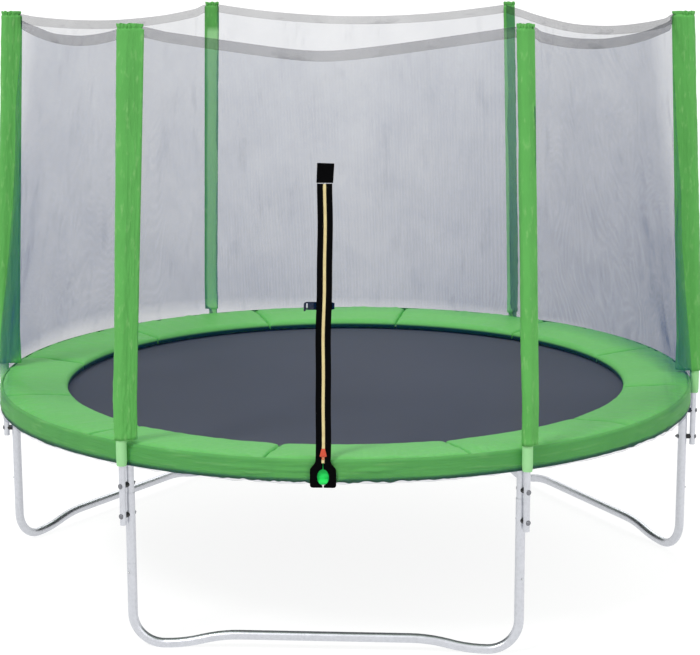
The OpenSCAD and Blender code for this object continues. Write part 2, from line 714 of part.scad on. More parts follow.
function bar_quads(j, split) =
    let (cuts = row_cuts(j, split), lo = 2 * j, hi = 2 * j + 1, last = len(cuts) - 2)
    [for (i = [0:last])
        let (a = cuts[i], b = cuts[i + 1], m = (a + b) / 2)
        if (!is_slot(m, lo, split)) each concat(
            face_pair(a, b, lo, hi),
            j == 0 || !on_upright(m, split) ? [level_wall(a, b, lo, false)] : [],
            j == bar_count - 1 || !on_upright(m, split) || slot_ends(m, hi, split)
                ? [level_wall(a, b, hi, true)] : [],
            i == 0 || is_slot(mid_of(cuts, i - 1), lo, split) ? [end_wall(a, lo, hi, false)] : [],
            i == last || is_slot(mid_of(cuts, i + 1), lo, split) ? [end_wall(b, lo, hi, true)] : [])];
function mid_of(cuts, i) = (cuts[i] + cuts[i + 1]) / 2;
function slot_ends(m, r, split) = is_slot(m, r + 1, split) && !is_slot(m, r, split);

function upright_quads(j, split) =
    [for (k = [0:net_cols])
        let (cuts = bar_cuts(k, split), lo = 2 * j + 1, hi = 2 * j + 2, last = len(cuts) - 2)
        for (i = [0:last])
            let (a = cuts[i], b = cuts[i + 1], m = (a + b) / 2)
            if (!is_slot(m, lo - 1, split)) each concat(
                face_pair(a, b, lo, hi),
                i == 0 || is_slot(mid_of(cuts, i - 1), lo - 1, split) ? [end_wall(a, lo, hi, false)] : [],
                i == last || is_slot(mid_of(cuts, i + 1), lo - 1, split) ? [end_wall(b, lo, hi, true)] : [])];

module net_panel(k) color("lightsteelblue") {
    split = k == FRONT;
    quads = concat(
        [for (j = [0:bar_count - 1]) each bar_quads(j, split)],
        [for (j = [0:bar_count - 2]) each upright_quads(j, split)],
        split ? slot_caps() : []);
    on_side(k) polyhedron(
        points = [for (q = quads, p = q) p],
        faces = halves([for (i = [0:len(quads) - 1]) [for (c = [0:3]) 4 * i + c]]));
}

// Lower edge of the net where the zip's slot ends.
function slot_caps() =
    let (c = bar_mid(net_cols / 2, true),
         tops = [for (j = [1:bar_count - 1]) if (below_zip_top(2 * j - 2) && !below_zip_top(2 * j)) 2 * j])
    [for (r = tops) level_wall(c - slot_half, c + slot_half, r, false)];

module net_hem() color("darkgray")
    for (k = [0:SIDES - 1]) on_side(k) {
        us = [for (i = [0:hem_steps]) -1 + 2 * i / hem_steps];
        fold = function(u) hem_fold * sin(540 * u) * (1 - u * u);
        corner = function(u, top, s)
            [seam_top[0] + s * hem_t / 2 - top * fold(u), u * half_chord, hem_low(u) + top * hem_h];
        ring = [[0, 1], [1, 1], [1, -1], [0, -1]];
        pts = [for (u = us, c = ring) corner(u, c[0], c[1])];
        skins = [for (i = [0:hem_steps - 1], c = [0:3])
            [4 * i + c, 4 * i + 4 + c, 4 * i + 4 + (c + 1) % 4, 4 * i + (c + 1) % 4]];
        ends = [[0, 1, 2, 3], [for (c = [3:-1:0]) 4 * hem_steps + c]];
        polyhedron(points = pts, faces = halves(concat(skins, ends)));
    }

// ---------------------------------------------------------------- zip entrance

module strip(x, y, w, h, low, t) translate([x, y, low]) cube([w, h, t]);

// The two tapes part below the slider, round an eye through which the skirt shows.
// A sewn bar joins each leaning tape to its upright, flared end, and both end inside it.
module zip_tapes() color("black") {
    half_gap = 2;
    half_w = zip_w / 2;
    bar_z = edge_z - bar_h - 1;
    bell_h = bar_z + bar_h / 2 - net_bottom_z;
    on_zip() for (s = [0, 1]) mirror([s, 0, 0])
        strip(half_gap, 1 - bar_h, half_w - half_gap, zip_len + bar_h - 1, tape_off, tape_t);
    translate([zip_x, zip_low[0] - tape_off, 0]) {
        for (s = [0, 1]) mirror([s, 0, 0])
            translate([half_gap - fit, -2 * tape_t, bar_z])
                cube([half_w - half_gap + 2 * fit, 2 * tape_t, bar_h]);
        translate([0, -fit, net_bottom_z]) rotate([90, 0, 0]) linear_extrude(tape_t)
            difference() {
                polygon(bell_points(half_w, bell_h));
                polygon([for (a = [0:10:350])
                    [eye_w / 2 * cos(a), eye_rim + eye_h / 2 * (1 + sin(a))]]);
                translate([-half_gap, -1]) square([2 * half_gap, bell_h + 2]);
            }
    }
}

// Outline of the flared end: as wide as the tapes at its top, with round lower corners.
function bell_points(half_w, top) =
    let (half = bell_w / 2,
         right = concat([[half_w, top], [half, top - bell_slope]],
                        [for (a = [0:-15:-90]) [half + bell_r * (cos(a) - 1), bell_r * (sin(a) + 1)]]))
    concat(right, [for (i = [len(right) - 1:-1:0]) [-right[i][0], right[i][1]]]);

module zip_chain() color("gold")
    on_zip() strip(-chain_w / 2, 2, chain_w, zip_len - 4, chain_off, chain_t);

function zip_y(z) = (z - edge_z) / cos(zip_tilt);

module zip_slider() color("orangered")
    on_zip() translate([0, zip_y(slider_z), 0]) {
        difference() {
            strip(-slider_w / 2, 0, slider_w, slider_len, tape_off + tape_t + fit, slider_top - tape_off - tape_t - fit);
            strip(-chain_w / 2 - fit, -1, chain_w + 2 * fit, slider_len + 2, 0, slider_off);
        }
        strip(-4, -14, 8, slider_len - 4, slider_top, pull_t);
    }

module zip_tab() color("black")
    on_zip() strip(-tab_w / 2, zip_len + fit, tab_w, tab_h, tape_off, tape_t + 1);

// Straps sewn to the net beside the zip, from behind the tapes to past their edges.
strap_in = 2;
strap_w = zip_w / 2 + strap_out - strap_in;

module buckle_straps() color("black")
    on_zip() for (s = [-1, 1])
        strip(s > 0 ? strap_in : -strap_in - strap_w, zip_y(buckle_z) - buckle_h / 2 + 3,
              strap_w, buckle_h - 6, -strap_off - strap_t, strap_t);

// The buckle lies inside the net. The prongs of its tongue lie in two channels of its socket.
prong_w = 6;
prong_len = 26;
prong_t = 4;
socket_len_x = buckle_len / 2 + 6;

module prongs(play, extra)
    for (s = [-1, 1])
        strip(buckle_x + 6 - prong_len - extra, zip_y(buckle_z) + s * 7 - prong_w / 2 - play,
              prong_len + extra + 1, prong_w + 2 * play, buckle_off + (buckle_t - prong_t) / 2 - play,
              prong_t + 2 * play);

module buckle_socket() color("black")
    on_zip() difference() {
        strip(buckle_x - buckle_len / 2, zip_y(buckle_z) - buckle_h / 2, socket_len_x, buckle_h, buckle_off, buckle_t);
        prongs(fit, 1);
    }

module buckle_tongue() color("black")
    on_zip() {
        strip(buckle_x + 6 + fit, zip_y(buckle_z) - buckle_h / 2, buckle_len - socket_len_x - fit, buckle_h,
              buckle_off, buckle_t);
        prongs(0, 0);
    }

// ---------------------------------------------------------------- the assembly

for (k = [0:SIDES - 1]) {
    frame_rail(k);
    at_pole(k) leg_upright();
    at_pole(k) pole_lower();
    at_pole(k) pole_upper();
    at_pole(k) pole_cover(k);
    net_panel(k);
}
for (i = [0:2])
    leg_base(LEG_SIDES[i]);
each_pole() leg_socket();  // leg_sockets
each_pole() snap_button();  // snap_buttons
each_pole() {  // pole_spacers
    pole_spacer(bolt_low_z, tube_r);
    pole_spacer(bolt_high_z, swage_r);
}
each_pole() {  // pole_bolts
    pole_bolt(bolt_low_z);
    pole_bolt(bolt_high_z);
}
each_pole() {  // pole_nuts
    pole_nut(bolt_low_z, tube_r);
    pole_nut(bolt_high_z, swage_r);
}
each_pole() pole_cap();  // pole_caps
each_pole() pole_foam();  // pole_foams
jump_mat();
mat_webbing();
mat_rings();
springs();
frame_pad();
pad_skirt();
net_hem();
zip_tapes();
zip_chain();
zip_slider();
zip_tab();
buckle_straps();
buckle_socket();
buckle_tongue();
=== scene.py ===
"""Looks of a round garden trampoline with a zipped safety net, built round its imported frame.

Lengths are metres, angles are degrees unless a name ends in _rad, +Z is up and the zip faces -Y.
"""
import json
import logging
import math
from dataclasses import dataclass, field
from enum import Enum
from typing import Any, Callable, Sequence

import bmesh
import bpy
import numpy as np
from mathutils import Matrix, Vector


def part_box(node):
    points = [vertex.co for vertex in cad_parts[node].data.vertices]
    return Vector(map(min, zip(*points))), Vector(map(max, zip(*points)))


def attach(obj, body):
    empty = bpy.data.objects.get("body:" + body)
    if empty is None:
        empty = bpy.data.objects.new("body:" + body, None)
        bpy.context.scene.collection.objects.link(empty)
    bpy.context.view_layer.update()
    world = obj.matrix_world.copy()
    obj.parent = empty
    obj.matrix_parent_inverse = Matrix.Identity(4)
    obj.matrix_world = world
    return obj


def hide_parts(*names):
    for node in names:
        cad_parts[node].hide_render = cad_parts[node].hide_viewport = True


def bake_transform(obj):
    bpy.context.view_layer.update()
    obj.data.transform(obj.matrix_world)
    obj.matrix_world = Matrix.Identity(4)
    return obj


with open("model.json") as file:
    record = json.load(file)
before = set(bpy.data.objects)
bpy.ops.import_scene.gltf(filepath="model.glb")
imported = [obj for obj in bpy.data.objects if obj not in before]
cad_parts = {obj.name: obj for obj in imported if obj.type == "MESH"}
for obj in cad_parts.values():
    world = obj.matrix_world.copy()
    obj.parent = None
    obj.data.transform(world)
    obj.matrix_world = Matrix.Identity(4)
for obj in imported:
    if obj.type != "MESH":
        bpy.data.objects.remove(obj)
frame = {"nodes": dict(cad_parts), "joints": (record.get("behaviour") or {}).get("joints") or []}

Colour = tuple[float, float, float, float]
Piece = bpy.types.Object
Shape = bpy.types.Mesh
Socket = bpy.types.NodeSocket
Values = dict[Any, Any] | None

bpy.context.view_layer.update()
LOG = logging.getLogger("trampoline")
SIDES = 6
SIDE_ANGLE = 360 / SIDES
POLES = ("right", "back_right", "back_left", "left", "front_left", "front_right")
PANELS = ("right_back", "back", "left_back", "left_front", "front", "right_front")
FRONT = PANELS.index("front")


class Body(Enum):
    """The bodies that a piece can ride on."""

    FRAME = "frame"
    MAT = "mat"
    SLIDER = "slider"
    TONGUE = "tongue"


# -------- node trees


def srgb(red: float, green: float, blue: float) -> Colour:
    """The linear colour of shares given in 0 to 255, with an alpha of 1."""
    shares = [part / 255 for part in (red, green, blue)]
    return (*(c / 12.92 if c <= 0.04045 else ((c + 0.055) / 1.055) ** 2.4 for c in shares), 1.0)


class Graph:
    """Adds nodes to one shader or geometry tree."""

    def __init__(self, tree: bpy.types.NodeTree) -> None:
        """Takes the tree that the nodes go into."""
        self.tree = tree

    def node(self, kind: str, settings: Values = None, inputs: Values = None) -> bpy.types.Node:
        """Adds one node.

        Args:
            kind: Blender's name of the node type.
            settings: Attributes, set before the sockets.
            inputs: Values or links of the sockets, by name or by number.

        Returns:
            The new node.
        """
        made = self.tree.nodes.new(kind)
        for name, value in (settings or {}).items():
            setattr(made, name, value)
        for name, value in (inputs or {}).items():
            self.feed(made.inputs[name], value)
        return made

    def number(self, kind: str, output: Any = 0, settings: Values = None, inputs: Values = None) -> "Num":
        """Adds one node and wraps one of its outputs as a number."""
        return Num(self, self.node(kind, settings, inputs).outputs[output])

    def feed(self, socket: Socket, value: Any) -> None:
        """Links a socket to a Num or another socket, or sets its plain value.

        Args:
            socket: The input socket.
            value: A Num, an output socket or a plain value.
        """
        if isinstance(value, Num):
            value = value.socket
        if isinstance(value, Socket):
            self.tree.links.new(value, socket)
        else:
            socket.default_value = value

    def seen(self) -> "Num":
        """1 where the camera looks, also by a mirror or through a clear sheet, and otherwise 0."""
        rays = self.node("ShaderNodeLightPath").outputs
        return Num(self, rays["Is Camera Ray"]).most(rays["Is Glossy Ray"]).most(rays["Is Transmission Ray"])


def both_ways(operation: str) -> tuple[Callable, Callable]:
    """The operator of a Num that adds a Math node, and its reflected form.

    Args:
        operation: The node's operation.

    Returns:
        The methods for a Num on the left and for one on the right.
    """
    def plain(self: "Num", other: Any) -> "Num":
        """Works on this and other."""
        return self.math(operation, self, other)

    def reflected(self: "Num", other: Any) -> "Num":
        """Works on other and this."""
        return self.math(operation, other, self)

    return plain, reflected


class Num:
    """A number in a tree: sums on it add Math nodes."""

    __add__, __radd__ = both_ways("ADD")
    __sub__, __rsub__ = both_ways("SUBTRACT")
    __mul__, __rmul__ = both_ways("MULTIPLY")
    __truediv__, __rtruediv__ = both_ways("DIVIDE")
    __pow__, __rpow__ = both_ways("POWER")

    def __init__(self, graph: Graph, socket: Socket) -> None:
        """Wraps an output socket of the graph."""
        self.graph = graph
        self.socket = socket

    def math(self, operation: str, *operands: Any) -> "Num":
        """The result of a Math node with that operation on the operands."""
        return self.graph.number("ShaderNodeMath", 0, {"operation": operation}, dict(enumerate(operands)))

    def sine(self) -> "Num":
        """The sine of this, in radians."""
        return self.math("SINE", self)

    def size(self) -> "Num":
        """This without its sign."""
        return self.math("ABSOLUTE", self)

    def most(self, other: Any) -> "Num":
        """The larger of this and other."""
        return self.math("MAXIMUM", self, other)

    def least(self, other: Any) -> "Num":
        """The smaller of this and other."""
        return self.math("MINIMUM", self, other)


class Shading(Graph):
    """The nodes of one material."""

    def __init__(self, material: bpy.types.Material) -> None:
        """Clears the material's tree and takes it."""
        material.use_nodes = True
        super().__init__(material.node_tree)
        self.tree.nodes.clear()

    def place(self, kind: str = "Object") -> Socket:
        """The Object or UV coordinates of the surface, in metres."""
        return self.node("ShaderNodeTexCoord").outputs[kind]

    def axes(self, kind: str = "Object") -> tuple[Num, Num, Num]:
        """The three parts of the coordinates, each as a number."""
        split = self.node("ShaderNodeSeparateXYZ", inputs={0: self.place(kind)})
        return tuple(Num(self, output) for output in split.outputs)

    def noise(self, size: float, detail: float = 3.0, stretch: Sequence[float] = (1, 1, 1),
              kind: str = "Object") -> Num:
        """A smooth noise from 0 to 1.

        Args:
            size: Rough size of its patches.
            detail: Octaves of finer noise.
            stretch: How much longer the patches are along each axis.
            kind: Object or UV coordinates.

        Returns:
            The noise's value.
        """
        scale = [1 / size / s for s in stretch]
        where = self.node("ShaderNodeMapping", inputs={"Vector": self.place(kind), "Scale": scale})
        return self.number("ShaderNodeTexNoise", inputs={
            "Vector": where.outputs[0], "Scale": 1.0, "Detail": detail, "Roughness": 0.55})

    def cells(self, size: float) -> Num:
        """Distance to the middle of the nearest of many cells of that size."""
        where = {"Vector": self.place(), "Scale": 1 / size}
        return self.number("ShaderNodeTexVoronoi", "Distance", inputs=where)

    def painted(self, name: str) -> Num:
        """An amount that a mesh carries at each of its points."""
        return self.number("ShaderNodeAttribute", "Fac", {"attribute_name": name})

    def weave(self, pitch: float, kind: str = "UV") -> Num:
        """Height of a plain weave with threads that far apart, from 0 to 1."""
        u, v, _ = self.axes(kind)
        turn = math.tau / pitch / 2
        return ((u * turn).sine() * (v * turn).sine()).size()

    def blend(self, share: Any, low: Any, high: Any) -> Socket:
        """The colour low where share is 0, high where it is 1, and a mixture between."""
        return self.node("ShaderNodeMix", {"data_type": "RGBA"}, {0: share, 6: low, 7: high}).outputs[2]

    def bump(self, height: Num, depth: float, strength: float = 1.0) -> Socket:
        """A normal from a height from 0 to 1 that stands for that depth."""
        return self.node("ShaderNodeBump", inputs={
            "Height": height, "Distance": depth, "Strength": strength}).outputs[0]

    def surface(self, tone: Any, roughness: Any, specular: float = 0.5, **others: Any) -> None:
        """Ends the material in a Principled shader.

        Args:
            tone: Its base colour.
            roughness: Its roughness.
            specular: Its specular level.
            others: Values or links of other sockets, with _ for a space.
        """
        inputs = {name.replace("_", " "): value for name, value in others.items()}
        shader = self.node("ShaderNodeBsdfPrincipled", inputs={
            "Base Color": tone, "Roughness": roughness, "Specular IOR Level": specular, **inputs})
        self.node("ShaderNodeOutputMaterial", inputs={"Surface": shader.outputs[0]})


# -------- finishes


@dataclass(frozen=True)
class Finish:
    """A named procedural material; each kind of finish paints its own nodes."""

    name: str
    colour: Colour

    def material(self) -> bpy.types.Material:
        """The finish's material, made the first time that it is asked for."""
        found = bpy.data.materials.get(self.name)
        if found:
            return found
        made = bpy.data.materials.new(self.name)
        self.paint(Shading(made))
        return made

    def paint(self, shading: Shading) -> None:
        """Lays out the nodes of this finish."""
        raise NotImplementedError

    def shade(self, factor: float) -> Colour:
        """The finish's colour, lighter or darker by a factor."""
        return (*(min(1.0, part * factor) for part in self.colour[:3]), 1.0)

    def tint(self, shading: Shading, share: Any, low: float, high: float) -> Socket:
        """The finish's colour, from its shade by the factor low to that by high."""
        return shading.blend(share, self.shade(low), self.shade(high))


@dataclass(frozen=True)
class Metal(Finish):
    """Bare or plated steel with a faint mottle and drawn lines."""

    roughness: float = 0.4
    mottle: float = 0.012
    metallic: float = 1.0

    def paint(self, shading: Shading) -> None:
        """Mottles the colour and roughness, as a zinc coat is."""
        cloud = shading.noise(0.07, 2, (1, 1, 4))
        tone = shading.cells(self.mottle) * 0.5 + cloud * 0.6
        drawn = shading.noise(0.004, 2, (1, 1, 12))
        shading.surface(self.tint(shading, tone, 0.86, 1.1), cloud * 0.22 + (self.roughness - 0.11),
                        Metallic=self.metallic, Normal=shading.bump(drawn, 0.00008))


@dataclass(frozen=True)
class Moulded(Finish):
    """Moulded plastic with a fine spark-eroded grain."""

    roughness: float = 0.42

    def paint(self, shading: Shading) -> None:
        """Grains the surface and varies its gloss."""
        wear = shading.noise(0.02, 4)
        shading.surface(self.tint(shading, wear, 0.85, 1.25), wear * 0.2 + (self.roughness - 0.1),
                        Normal=shading.bump(shading.noise(0.0009, 2), 0.00012))


@dataclass(frozen=True)
class ClosedCellFoam(Finish):
    """Extruded foam with pin-sized cells."""

    def paint(self, shading: Shading) -> None:
        """Pits the surface and clouds its colour."""
        shading.surface(self.tint(shading, shading.noise(0.05, 3), 0.9, 1.06), 0.85, 0.1,
                        Normal=shading.bump(shading.cells(0.0022), 0.0005, 0.6))


@dataclass(frozen=True)
class CoatedCloth(Finish):
    """Woven cloth with a thin plastic coat, as sleeves and skirts are cut from."""

    roughness: float = 0.5
    # Colour of the painted highlights on the crinkles' ridges.
    painted_highlight: Colour = (1, 1, 1, 1)
    dark: Colour = (0, 0, 0, 1)
    run: tuple[float, float, float] = (1, 2.5, 1)
    # Painted light: a lighter, greener colour where a mesh marks it.
    fresh: Colour = (0.5, 1, 0.45, 1)
    pitch: float = 0.0011

    def paint(self, shading: Shading) -> None:
        """Shows the threads through the coat, with crinkled places whose ridges carry painted highlights,
        and painted light where a mesh marks it.
        """
        crinkle = shading.noise(0.018, 4, self.run, "UV")
        # Painted highlight: the crinkles' ridges are painted paler.
        highlight_mask = ((crinkle - 0.56) * 5).most(0)
        base = self.tint(shading, shading.noise(0.16, 2), 0.90, 1.10)
        tone = shading.blend(shading.painted("dark"), shading.blend(highlight_mask, base, self.painted_highlight), self.dark)
        # Painted light where a mesh marks it.
        tone = shading.blend(shading.painted("fresh"), tone, self.fresh)
        shading.surface(tone, crinkle * 0.2 + (self.roughness - 0.1), 0.12,
                        Normal=shading.bump(crinkle * 0.95 + shading.weave(self.pitch) * 0.04, 0.0042))


@dataclass(frozen=True)
class Vinyl(Finish):
    """Smooth coated vinyl with a leather grain, as pads are covered in."""

    roughness: float = 0.42
    # Colour of the painted highlights on the creases' ridges.
    painted_highlight: Colour = (1, 1, 1, 1)
    # Painted shade: colour of the pad's inner wall under its inner edge.
    inner: Colour = (0, 0, 0, 1)

    def paint(self, shading: Shading) -> None:
        """Grains the surface, lays soft creases with painted highlights on their ridges, and paints shade on
        the inner wall.
        """
        crease = shading.noise(0.03, 5)
        base = self.tint(shading, shading.noise(0.35, 3), 0.92, 1.08)
        # Painted highlight: the creases' ridges are painted paler.
        painted_highlight = shading.blend(((crease - 0.56) * 2.5).most(0), base, self.painted_highlight)
        # Painted shade: where the mesh marks dark, the inner wall takes the inner colour.
        tone = shading.blend(shading.painted("dark"), painted_highlight, self.inner)
        shading.surface(tone, crease * 0.18 + (self.roughness - 0.09), 0.08,
                        Normal=shading.bump(crease * 0.9 + shading.cells(0.0016) * 0.06, 0.0022))


@dataclass(frozen=True)
class JumpFabric(Finish):
    """Flat woven tapes with a slight gloss."""

    pitch: float = 0.0024

    def paint(self, shading: Shading) -> None:
        """Weaves the tapes and dusts them in clouds."""
        tapes = shading.weave(self.pitch, "Object")
        dust = shading.noise(0.4, 4)
        tone = shading.blend(tapes * 0.35, self.tint(shading, dust, 0.85, 1.2), self.shade(1.5))
        shading.surface(tone, dust * 0.2 + 0.5, 0.03, Normal=shading.bump(tapes, 0.0004))


@dataclass(frozen=True)
class Webbing(Finish):
    """Narrow woven strap with a chevron rib."""

    rib: float = 0.0022

    def paint(self, shading: Shading) -> None:
        """Ribs the strap in chevrons along its length."""
        u, v, _ = shading.axes("UV")
        chevron = ((u.size() + v) * (math.tau / self.rib)).sine() * 0.5 + 0.5
        tone = chevron * 0.6 + shading.noise(0.004, 3, kind="UV") * 0.3
        shading.surface(self.tint(shading, tone, 0.7, 1.6), 0.8, 0.04, Normal=shading.bump(chevron, 0.0003))


@dataclass(frozen=True)
class Mesh(Finish):
    """Knitted net that shows what lies behind it between its yarns."""

    pitch: float = 0.004
    open_alpha: float = 0.2
    yarn_alpha: float = 0.6
    crease_alpha: float = 0.1
    clear_z: float = 1.425
    clearer: float = 0.72
    gather_alpha: float = 0.20

    def paint(self, shading: Shading) -> None:
        """Knits yarns and gaps, with darker creases and a clearer zone low in front."""
        u, v, _ = shading.axes("UV")
        turn = math.tau / self.pitch
        upright = ((u * turn).sine() * 0.5 + 0.5) ** 3
        level = ((v * turn + (u * turn / 2).sine()).sine() * 0.5 + 0.5) ** 4
        yarn = upright.most(level * 0.8)
        crease = shading.noise(0.07, 5, (1, 4, 1), "UV")
        streak = ((crease - 0.58) * 5).most(0)
        pole = shading.painted("dark")
        gathered = pole.most(0) * (crease * 3 - 1.0).most(0)
        x, y, z = shading.axes()
        brow = z * -1 + self.clear_z - (x.size() ** 3) * 0.16
        clear = (y * -20).most(0).least(1) * (brow * 18).most(0).least(1)
        cloud = shading.noise(0.22, 4)
        film = yarn * (self.yarn_alpha - self.open_alpha) + (streak * self.crease_alpha + self.open_alpha)
        film = film * (cloud * 0.4 + 0.8 + x.size() * 0.17 + x * 0.06) * (1.36 - z * 0.25)
        film = film * (1 - clear * self.clearer) * (1 - (pole * -0.62).most(0))
        shading.surface(self.tint(shading, cloud, 0.9, 1.1), 0.7, 0.02,
                        Alpha=film + gathered * self.gather_alpha,
                        Normal=shading.bump(crease, 0.002))


@dataclass(frozen=True)
class FloorCoat(Finish):
    """Pale studio floor: white in the picture, and darker only under the object."""

    glow: float = 0.87

    def paint(self, shading: Shading) -> None:
        """Adds a glow that only the camera and mirror-like rays see."""
        seen = shading.seen()
        tone = seen * (shading.noise(0.6, 2) * 0.02 + 0.99)
        shading.surface(self.tint(shading, tone, 1.0, 0.45), 0.9, 0.1, Emission_Strength=1.0,
                        Emission_Color=shading.blend(seen, (0, 0, 0, 1), (self.glow,) * 3 + (1,)))


class Slot(Enum):
    """The record's material slots, each with its finish."""

    TUBE = ("galvanised_tube", Metal("galvanised_steel", srgb(206, 208, 214), 0.36, 0.014, 0.9))
    PLATED = ("plated_steel", Metal("zinc_plate", srgb(200, 202, 204), 0.28, 0.004))
    BOLT = ("dark_bolt_steel", Metal("blackened_steel", srgb(128, 129, 134), 0.45, 0.004))
    PLASTIC = ("dark_plastic", Moulded("black_moulding", srgb(14, 14, 15)))
    FOAM = ("green_foam", ClosedCellFoam("cell_foam", srgb(184, 254, 177)))
    # Sleeves: painted highlights on their crinkles, and painted light on the back sleeves' inward sides.
    COVER = ("green_cover", CoatedCloth("sleeve_cloth", srgb(112, 200, 102), 0.45, srgb(150, 220, 132),
                                        run=(1, 3.5, 1)))
    MAT = ("jump_fabric", JumpFabric("jump_weave", srgb(91, 94, 103)))
    WEBBING = ("black_webbing", Webbing("ribbed_strap", srgb(5, 5, 6)))
    # Pad: painted highlights on its creases, and painted shade on its inner wall.
    PAD = ("green_pad", Vinyl("pad_vinyl", srgb(130, 224, 118), painted_highlight=srgb(150, 232, 138),
                              inner=srgb(20, 66, 62)))
    # Skirt: painted highlights on its crinkles, a darker lowest band, and painted light behind the zip's
    # eye.
    SKIRT = ("green_skirt", CoatedCloth("skirt_cloth", srgb(112, 200, 100), 0.5, srgb(140, 216, 122),
                                        srgb(62, 94, 64), (9, 1, 1), srgb(50, 255, 112)))
    NET = ("net_mesh", Mesh("knitted_net", srgb(14, 64, 116), 0.004, 0.215, 0.51, 0.08))
    HEM = ("grey_hem", Mesh("hem_mesh", srgb(50, 54, 72), 0.003, 0.22, 0.50, 0.35))
    CHAIN = ("yellow_chain", Moulded("yellow_coil", srgb(250, 222, 165)))
    SLIDER = ("red_slider", Moulded("red_enamel", srgb(226, 84, 52), 0.3))

    def __init__(self, slot: str, finish: Finish) -> None:
        """Takes the slot's name and the finish."""
        self.slot = slot
        self.finish = finish


# -------- meshes


def turned(points: np.ndarray, angle: float) -> np.ndarray:
    """Points, whose last axis is x, y, z, turned about the Z axis by degrees."""
    c, s = math.cos(math.radians(angle)), math.sin(math.radians(angle))
    return points @ np.array([[c, s, 0], [-s, c, 0], [0, 0, 1]])


def chart(across: Any, along: Any) -> np.ndarray:
    """UV pairs of a grid, from the lengths across and along it."""
    return np.stack(np.meshgrid(across, along), axis=2)


def run(points: np.ndarray, closed: bool = False) -> np.ndarray:
    """Lengths from 0 along a line of points, or round a closed ring of them."""
    line = np.concatenate([points, points[:1]]) if closed else points
    return np.concatenate([[0], np.cumsum(np.linalg.norm(np.diff(line, axis=0), axis=1))])


def smoothstep(x: Any) -> Any:
    """Rises smoothly from 0 at 0 to 1 at 1."""
    t = np.clip(x, 0, 1)
    return t * t * (3 - 2 * t)


@dataclass(frozen=True)
class Ripples:
    """Soft wrinkles in cloth: a fixed sum of waves of many headings."""

    seed: int
    length: float
    along: float = 1.0
    count: int = 14

    def height(self, u: np.ndarray, v: np.ndarray) -> np.ndarray:
        """Height of the wrinkles, mostly from -1 to 1.

        Args:
            u: First coordinate, in which waves are short.
            v: Second coordinate, in which waves are longer by the factor along.

        Returns:
            Heights, in the shape of u and v.
        """
        draw = np.random.default_rng(self.seed)
        total = np.zeros(np.broadcast(u, v).shape)
        for _ in range(self.count):
            heading, phase = draw.uniform(0, math.tau, 2)
            wave = math.tau / self.length * draw.uniform(0.6, 1.6)
            total += np.sin(wave * (u * math.cos(heading) + v * math.sin(heading) / self.along) + phase)
        return total / math.sqrt(self.count)

    def ridges(self, u: np.ndarray, v: np.ndarray) -> np.ndarray:
        """Sharp folds from 0 to 1, where the waves cross zero."""
        return np.clip(1 - np.abs(self.height(u, v)) * 1.6, 0, 1) ** 2


def piece(name: str, vertices: Any, faces: Any, slot: Slot, uvs: np.ndarray | None = None,
          sharp: float | None = None) -> Piece:
    """Makes a smooth-shaded mesh object in the scene.

    Args:
        name: Name of the piece.
        vertices: Places of its vertices.
        faces: Vertex numbers of its faces.
        slot: Material slot, whose finish it takes.
        uvs: One pair for each face corner, in metres.
        sharp: Angle over which an edge stays sharp.

    Returns:
        The object, at the origin.
    """
    mesh = bpy.data.meshes.new(name)
    mesh.from_pydata(np.asarray(vertices, float).tolist(), [], [list(map(int, f)) for f in faces])
    if uvs is not None:
        mesh.uv_layers.new(name="UVMap").data.foreach_set("uv", np.asarray(uvs, float).ravel())
    return wrap(name, mesh, slot, sharp)


def linked(name: str, data: Any) -> Piece:
    """An object in the scene with that mesh, curve, light or camera."""
    made = bpy.data.objects.new(name, data)
    bpy.context.scene.collection.objects.link(made)
    return made


def wrap(name: str, mesh: Shape, slot: Slot, sharp: float | None = None) -> Piece:
    """Puts a mesh into the scene with a finish and smooth shading.

    Args:
        name: Name of the piece.
        mesh: Its mesh.
        slot: Material slot, whose finish it takes.
        sharp: Angle over which an edge stays sharp.

    Returns:
        The piece.
    """
    mesh.name = name
    mesh.materials.clear()
    mesh.materials.append(slot.finish.material())
    mesh.polygons.foreach_set("use_smooth", [True] * len(mesh.polygons))
    if sharp is not None:
        mesh.set_sharp_from_angle(angle=math.radians(sharp))
    return linked(name, mesh)


def sheet_faces(rows: int, columns: int, closed: bool) -> list[tuple[int, int, int, int]]:
    """Quads over a grid of vertices.

    Args:
        rows: Rows of vertices.
        columns: Vertices in a row.
        closed: Whether the last column joins the first.

    Returns:
        Vertex numbers of each quad, row by row.
    """
    last = columns if closed else columns - 1
    return [(i * columns + j, i * columns + (j + 1) % columns,
             (i + 1) * columns + (j + 1) % columns, (i + 1) * columns + j)
            for i in range(rows - 1) for j in range(last)]


def loft(name: str, grid: np.ndarray, slot: Slot, uv: np.ndarray | None = None, closed: bool = False,
         caps: bool = False, flip: bool = False, sharp: float | None = None) -> Piece:
    """Skins a grid of points.

    Args:
        name: Name of the piece.
        grid: Points in rows and columns.
        slot: Material slot.
        uv: Pair for each grid point, with one more column when closed.
        closed: Whether each row is a ring.
        caps: Whether the first and last ring are filled.
        flip: Turns the faces round.
        sharp: Angle over which an edge stays sharp.

    Returns:
        The piece.
    """
    rows, columns = grid.shape[:2]
    faces = sheet_faces(rows, columns, closed)
    if uv is None:
        uv = chart(np.linspace(0, 1, columns + closed), np.linspace(0, 1, rows))
    wide = uv.shape[1]
    corners = sheet_faces(rows, wide, False)
    if caps:
        low = list(range(columns))[::-1]
        faces += [low, [(rows - 1) * columns + j for j in range(columns)]]
        corners += [low, [(rows - 1) * wide + j for j in range(columns)]]
    if flip:
        faces, corners = [f[::-1] for f in faces], [c[::-1] for c in corners]
    uvs = uv.reshape(-1, 2)[[k for corner in corners for k in corner]]
    return piece(name, grid.reshape(-1, 3), faces, slot, uvs, sharp)


